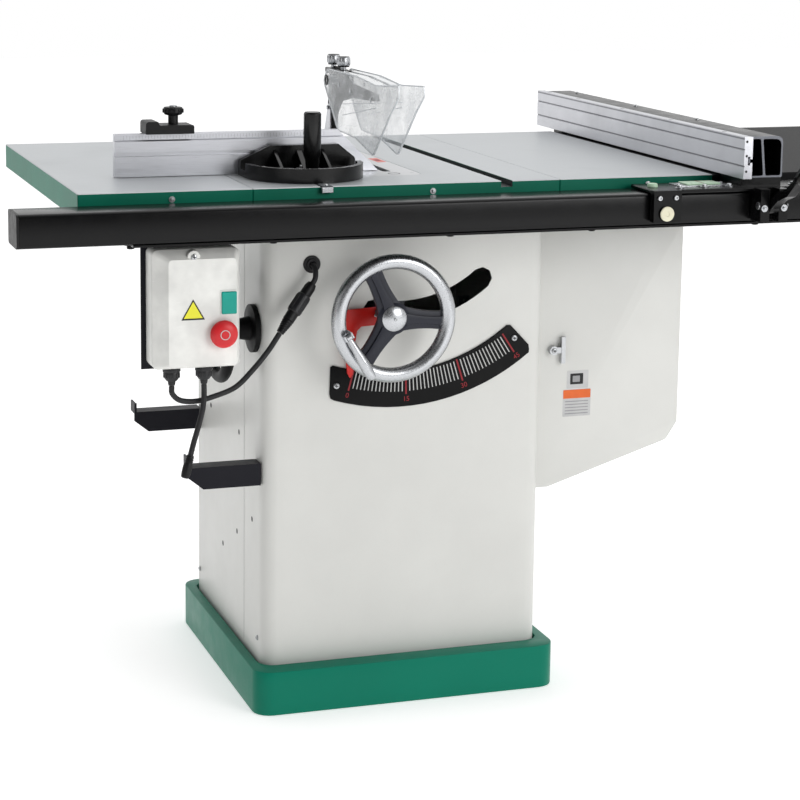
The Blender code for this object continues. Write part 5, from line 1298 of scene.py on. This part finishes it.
def make_shield_fittings(body, side):
    """Rivets, a hinge washer, the milky edge line, which is partly a painted highlight, and two painted
    highlight lines along creases on one shield.
    """
    p = Piece(body + "_rivets")
    face = BLADE_X + side * 0.0225
    outwards = (side, 0, 0)
    rivet = [(0, 0), (0.0042, 0), (0.0040, 0.0006), (0.0022, 0.0014), (0, 0.0016)]
    for y, z in ((-0.010, 0.985), (0.055, 0.990), (-0.120, 0.980)):
        p.revolve(rivet, (face, y, z), outwards, "polished_rim", 24)
    washer = looped([(0.0045, 0), (0.0092, 0), (0.0092, 0.0012), (0.0045, 0.0014)])
    p.revolve(washer, (face, 0.125, 0.993), outwards, "black_plastic", 32)
    p.tube(shield_edge(face - side * 0.0015), 0.0011, "milky_edge_and_highlight", 8, True)
    # Painted highlights: white lines along two creases.
    for level, tilt in ((0.958, 0.10), (0.938, 0.16)):
        crease = [(face, y, level + tilt * (0.05 - y)) for y in (0.030, 0.0, -0.050, -0.100, -0.150)]
        p.tube(crease, 0.0007, "milky_edge_and_highlight", 6)
    p.done(body, "clear_guard")


def make_blade_details():
    """Expansion slits and small holes drawn as painted shade, and a collar line, on the blade's right face.
    """
    p = Piece("blade_slit_shade_and_collar")
    lo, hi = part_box("saw_blade")
    centre = Vector((BLADE_X, (lo.y + hi.y) / 2, (lo.z + hi.z) / 2))
    face = 0.0012
    slit = [(-0.0004, 0.106), (0.0004, 0.106), (0.0004, 0.090), (-0.0004, 0.090)]
    for k in range(4):
        turn = Matrix.Translation(centre) @ Matrix.Rotation(2 * math.pi * (k + 0.5) / 4, 4, "X")
        hole_at = turn @ standing((face, 0, 0.062), RIGHT)
        p.prism(circle_points(0.0032, 20), -0.0001, 0.00012, "black_mark_and_painted_shade", hole_at)
        p.prism(slit, -0.0001, 0.00012, "black_mark_and_painted_shade", turn @ facing_side(face, 1))
    line = hoop(0.0300, 0.0312, 0.0, 0.00015)
    p.revolve(line, centre + Vector((face, 0, 0)), RIGHT, "grey_mark_and_painted_shade", 64)
    p.done("arbor_spindle", "bright_steel")


# ---------------------------------------------------------------- miter gauge
MITER_PIVOT_Y = -0.165


def make_miter_details():
    make_miter_graduations()
    make_miter_fittings()
    make_miter_index()
    make_stop_fittings()
    make_fence_rule()


def make_miter_graduations():
    """A line every 2 degrees on the protractor, every fifth one longer."""
    p = Piece("miter_graduations")
    centre = Vector((LEFT_SLOT_X, MITER_PIVOT_Y, TABLE_TOP))
    for k in range(-60, 61, 2):
        turn = Matrix.Translation(centre) @ Matrix.Rotation(math.radians(k), 4, "Z")
        long = k % 10 == 0
        half = 0.00040 if long else 0.00026
        inner = 0.0875 if long else 0.0900
        line = rectangle(-half, -0.0950, half, -inner)
        p.prism(line, 0.0232, 0.02362, "mark_white", turn)
    p.done("miter_protractor", "black_plastic")


def make_miter_fittings():
    """The pivot's screw and cap, and two ribs behind the head."""
    p = Piece("miter_fittings")
    cap = [(0, 0.0118), (0.0115, 0.0118), (0.0115, 0.0135), (0.0070, 0.0140)]
    cap += [(0.0070, 0.0175), (0.0058, 0.0188), (0, 0.0188)]
    p.revolve(cap, (LEFT_SLOT_X, MITER_PIVOT_Y, TABLE_TOP), UP, "zinc_screw", 36)
    rib = [(-0.137, 0.876), (-0.137, 0.905), (-0.190, 0.8765)]
    for dx in (-0.040, 0.040):
        p.prism(rib, -0.0028, 0.0028, "miter_black", facing_side(LEFT_SLOT_X + dx, 1), 0.0010)
    p.done("miter_protractor", "black_plastic")


def make_miter_index():
    p = Piece("miter_index_pointer")
    shape = [(-0.0085, -0.2995), (0.0085, -0.2995), (0.0085, -0.2700)]
    shape += [(0.0020, -0.2640), (-0.0020, -0.2640), (-0.0085, -0.2700)]
    outline = [(LEFT_SLOT_X + x, y) for x, y in shape]
    p.prism(outline, 0.8638, 0.8656, "rough_iron", Matrix(), 0.0004)
    p.pan_screw((LEFT_SLOT_X, -0.2880, 0.8656), UP, 0.0042)
    p.done("miter_slide_bar", "bright_steel")


def make_stop_fittings():
    p = Piece("stop_fittings")
    knob = (-0.360, -0.1153, 0.9453)
    cap = [(0, 0.0300), (0.0060, 0.0300), (0.0060, 0.0316), (0.0035, 0.0324), (0, 0.0324)]
    p.revolve(cap, knob, UP, "zinc_screw", 24)
    low, high = (0.0150, -0.0013, 0.0205), (0.0170, 0.0013, 0.0265)
    p.ridges(16, low, high, "black_plastic", Matrix.Translation(knob), 0.0005)
    p.pan_screw((-0.397, -0.0925, 0.9150), BACK, 0.0040)
    p.done("stop_block", "black_plastic")


def make_fence_rule():
    """Plain ticks every 5 mm along the miter fence."""
    p = Piece("fence_rule")
    place = facing_front(0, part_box("miter_fence")[0].y + 0.0040, 0)
    top, half = 0.9300, 0.0002
    for i in range(67):
        x = -0.440 + i * 0.005
        tall = 0.0042 if i % 2 else 0.0065
        p.prism(rectangle(x - half, top - tall, x + half, top), -half, 0.00012, "grey_mark_and_painted_shade", place)
    p.done("miter_protractor", "anodised")


# ---------------------------------------------------------------- rip fence head
def make_fence_details():
    make_fence_discs()
    make_fence_top()
    make_fence_bolts()
    make_lever_sleeve()
    make_fence_screws()


def make_fence_discs():
    p = Piece("fence_nylon_discs")
    button = [(0, 0.0), (0.0118, 0.0), (0.0118, 0.0012), (0.0108, 0.0020)]
    button += [(0.0040, 0.0022), (0.0034, 0.0012), (0, 0.0012)]
    for x in (0.3735, 0.7155):
        p.revolve(button, (x, -0.3940, 0.817), FRONT, "nylon_cream", 40)
        p.socket_screw((x - 0.012, -0.3905, 0.842), FRONT, 0.0038)
        p.socket_screw((x + 0.016, -0.3905, 0.842), FRONT, 0.0038)
    p.done("rip_fence", "black_plastic")


def make_fence_top():
    """Round level, bolts and the scale's lens on top of the fence head."""
    q = Piece("fence_top_fittings")
    top = FENCE_HEAD_TOP
    level = [(0, 0), (0.0085, 0), (0.0085, 0.0030), (0.0070, 0.0055), (0.0, 0.0062)]
    q.revolve(level, (0.372, -0.3400, top), UP, "level_green", 32)
    for x in (0.408, 0.452, 0.496, 0.610, 0.660, 0.720):
        q.hex_bolt((x, -0.3640, top), UP, 0.0072, 0.0036)
    q.block((0.414, -0.3560, top), (0.502, -0.3120, top + 0.0016), "polished_rim", 0.0006)
    q.block((0.428, -0.3500, top + 0.0016), (0.488, -0.3180, top + 0.0044), "level_green", 0.0012)
    q.block((0.4572, -0.3500, top + 0.0044), (0.4580, -0.3180, top + 0.0047), "mark_red", 0.0001)
    for x in (0.420, 0.496):
        q.pan_screw((x, -0.3340, top + 0.0016), UP, 0.0040)
    q.done("rip_fence", "bright_steel")


def make_fence_bolts():
    r = Piece("fence_head_bolts")
    r.hex_bolt((0.5365, -0.4100, 0.8225), FRONT, 0.0055, 0.0026, "polished_rim")
    r.hex_bolt((0.5715, -0.4100, 0.8225), FRONT, 0.0055, 0.0026, "polished_rim")
    pin = [(0, 0), (0.0062, 0), (0.0062, 0.0016), (0.0042, 0.0026), (0, 0.0028)]
    for x, side in ((0.5300, -1), (0.5780, 1)):
        r.revolve(pin, (x, -0.4020, 0.826), (side, 0, 0), "polished_rim", 28)
    for y in (-0.352, -0.318):
        r.hex_bolt((0.5860, y, 0.905), RIGHT, 0.0070, 0.0034)
    r.done("rip_fence", "bright_steel")


def make_lever_sleeve():
    s = Piece("lever_grip_sleeve")
    grip = [(0, 0.0), (0.0082, 0.0), (0.0098, 0.002), (0.0118, 0.014), (0.0128, 0.030)]
    grip += [(0.0132, 0.048), (0.0118, 0.0555), (0.0090, 0.0595), (0, 0.0608)]
    s.revolve(grip, (0.554, -0.4880, 0.876), (0, -0.8, 0.6), "black_gloss", 36)
    s.done("fence_lever", "black_enamel")


def make_fence_screws():
    """Screw holes in the face's front end and along its top, drawn as painted shade, and screws in the
    body's top.
    """
    t = Piece("fence_hole_shade_and_screws")
    lo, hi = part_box("rip_fence_face")
    hole = [(0, SUNK), (0.0021, SUNK), (0.0021, 0.00012), (0.0012, 0.00016), (0, 0.00016)]
    for z in (0.9275, 0.9045, 0.8795):
        t.revolve(hole, (0.5140, lo.y, z), FRONT, "black_mark_and_painted_shade", 20)
    hole = [(0, 0.0002), (0.0024, 0.0002), (0.0044, 0.0001), (0.0044, -0.0008), (0, -0.0008)]
    for y in (-0.30, -0.10, 0.10, 0.30, 0.44):
        t.revolve(hole, (0.5170, y, hi.z), UP, "grey_mark_and_painted_shade", 20)
    for y in (-0.10, 0.15, 0.42):
        t.pan_screw((0.566, y, 0.9338), UP, 0.0042)
    t.done("rip_fence", "bright_steel")


# ---------------------------------------------------------------- drive, dust port and glands
def make_motor_details():
    p = Piece("motor_fittings")
    lo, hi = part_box("motor")
    x, y, z = hi.x - 0.0002, (lo.y + hi.y) / 2 - 0.006, (lo.z + hi.z) / 2
    for across, up in circle_points(0.052, 6):
        p.hex_bolt((x, y + across, z + up), RIGHT, 0.0050, 0.0024)
    collar = looped([(0.012, 0), (0.030, 0), (0.030, 0.0014), (0.012, 0.0020)])
    p.revolve(collar, (x, y, z), RIGHT, "black_mark_and_painted_shade", 40)
    p.done("raise_arm", "rough_iron")


def make_dust_details():
    lo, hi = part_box("dust_port")
    cx, cz = (lo.x + hi.x) / 2, (lo.z + hi.z) / 2
    p = Piece("dust_port_screws")
    for sx, sz in grid((-1, 1), (-1, 1)):
        p.pan_screw((cx + sx * 0.058, lo.y + 0.0035, cz + sz * 0.058), BACK, 0.0042)
    for z in (0.016, 0.028, 0.040):
        p.revolve(hoop(0.0502, 0.0516, z, z + 0.0028), (cx, lo.y, cz), BACK, "black_plastic", 64)
    p.done("machine", "black_plastic")


def make_gland(name, node):
    """Cable gland: hexagon body, ribbed dome nut and a tapered relief round the lead."""
    lo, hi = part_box(node)
    x, y, top = (lo.x + hi.x) / 2, (lo.y + hi.y) / 2, hi.z
    p = Piece(name)
    place = standing((x, y, top), DOWN)
    hexagon = [(0.0142 * across, 0.0142 * up) for across, up in hexagon_corners(30)]
    p.prism(hexagon, 0.0, 0.0062, "gland_plastic", place, 0.0007)
    dome = [(0.0052, 0.0062), (0.0120, 0.0062), (0.0124, 0.0072)]
    dome += [(0.0118, 0.0150), (0.0084, 0.0196), (0.0052, 0.0204)]
    p.revolve(looped(dome), (x, y, top), DOWN, "gland_plastic", 36)
    p.ridges(12, (0.0112, -0.0013, 0.0074), (0.0130, 0.0013, 0.0146), "gland_plastic", place)
    relief = [(0.0047, 0.0200), (0.0062, 0.0200), (0.0056, 0.0240), (0.0050, 0.0272), (0.0047, 0.0272)]
    p.revolve(looped(relief), (x, y, top), DOWN, "rubber_sheath", 28)
    obj = p.done("machine", "black_plastic")
    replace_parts(obj, node)


def make_grommet():
    lo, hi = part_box("panel_grommet")
    x, z = (lo.x + hi.x) / 2, (lo.z + hi.z) / 2
    p = Piece("panel_lead_grommet")
    ring = [(0.0047, 0.0), (0.0142, 0.0), (0.0142, 0.0012), (0.0132, 0.0026)]
    ring += [(0.0100, 0.0030), (0.0090, 0.0056), (0.0062, 0.0060), (0.0047, 0.0050)]
    p.revolve(looped(ring), (x, PANEL_FRONT_Y, z), FRONT, "rubber_sheath", 44)
    p.revolve(hoop(0.0047, 0.0094, -0.0055, 0.0), (x, PANEL_FRONT_Y, z), FRONT, "rubber_sheath", 32)
    obj = p.done("machine", "black_plastic")
    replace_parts(obj, "panel_grommet")


def make_power_connector():
    """Moulded in-line plug on the end of the supply lead."""
    p = Piece("power_lead_connector")
    start = Vector(POWER_ROUTE[-1])
    along = (start - Vector(POWER_ROUTE[-2])).normalized()
    body = [(0, 0.0003), (0.0054, 0.0003), (0.0058, 0.0016)]
    for k in range(3):
        z = 0.0026 + k * 0.0030
        rib, groove = 0.0060 + k * 0.0003, 0.0052 + k * 0.0003
        body += [(rib, z), (rib, z + 0.0018), (groove, z + 0.0020), (groove, z + 0.0028)]
    body += [(0.0070, 0.0130), (0.0072, 0.0160), (0.0072, 0.0290)]
    body += [(0.0066, 0.0345), (0.0050, 0.0360), (0, 0.0360)]
    p.revolve(body, start, along, "black_plastic", 32)
    low, high = (0.0066, -0.0012, 0.0170), (0.0076, 0.0012, 0.0280)
    p.ridges(6, low, high, "black_plastic", standing(start, along))
    obj = p.done("machine", "black_plastic")
    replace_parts(obj, "power_connector")
    return obj


def make_slot_shadows():
    """Painted shade: dark strips on the walls of the miter slots, and on the right slot's floor."""
    p = Piece("slot_painted_shade")
    half, skin = 0.0193 / 2, 0.00012
    floor = TABLE_TOP - 0.0097
    y0, y1 = -0.2905, 0.3945
    for x, side in grid((LEFT_SLOT_X, RIGHT_SLOT_X), (-1, 1)):
        wall = x + side * half
        low, high = sorted((wall, wall - side * skin))
        p.block((low, y0, floor), (high, y1, 0.8630), "slot_shade", 0)
    x = RIGHT_SLOT_X
    p.block((x - half, y0, floor), (x + half, y1, floor + skin), "slot_shade", 0)
    p.done("machine", "ground_iron")


def make_glands():
    make_gland("motor_lead_cable_gland", "motor_lead_gland")
    make_gland("power_lead_cable_gland", "power_lead_gland")


DETAILS = (
    make_cords,
    make_height_wheel,
    make_tilt_wheel,
    make_switch,
    make_angle_marks,
    make_pointer,
    make_cabinet_details,
    make_base_details,
    make_cover_details,
    make_rail_details,
    make_insert_details,
    make_extension_details,
    make_guard_details,
    make_blade_details,
    make_miter_details,
    make_fence_details,
    make_motor_details,
    make_dust_details,
    make_glands,
    make_grommet,
    make_slot_shadows,
)

make_camera()
make_studio()
make_materials()
finish_nodes()
for make in DETAILS:
    make()
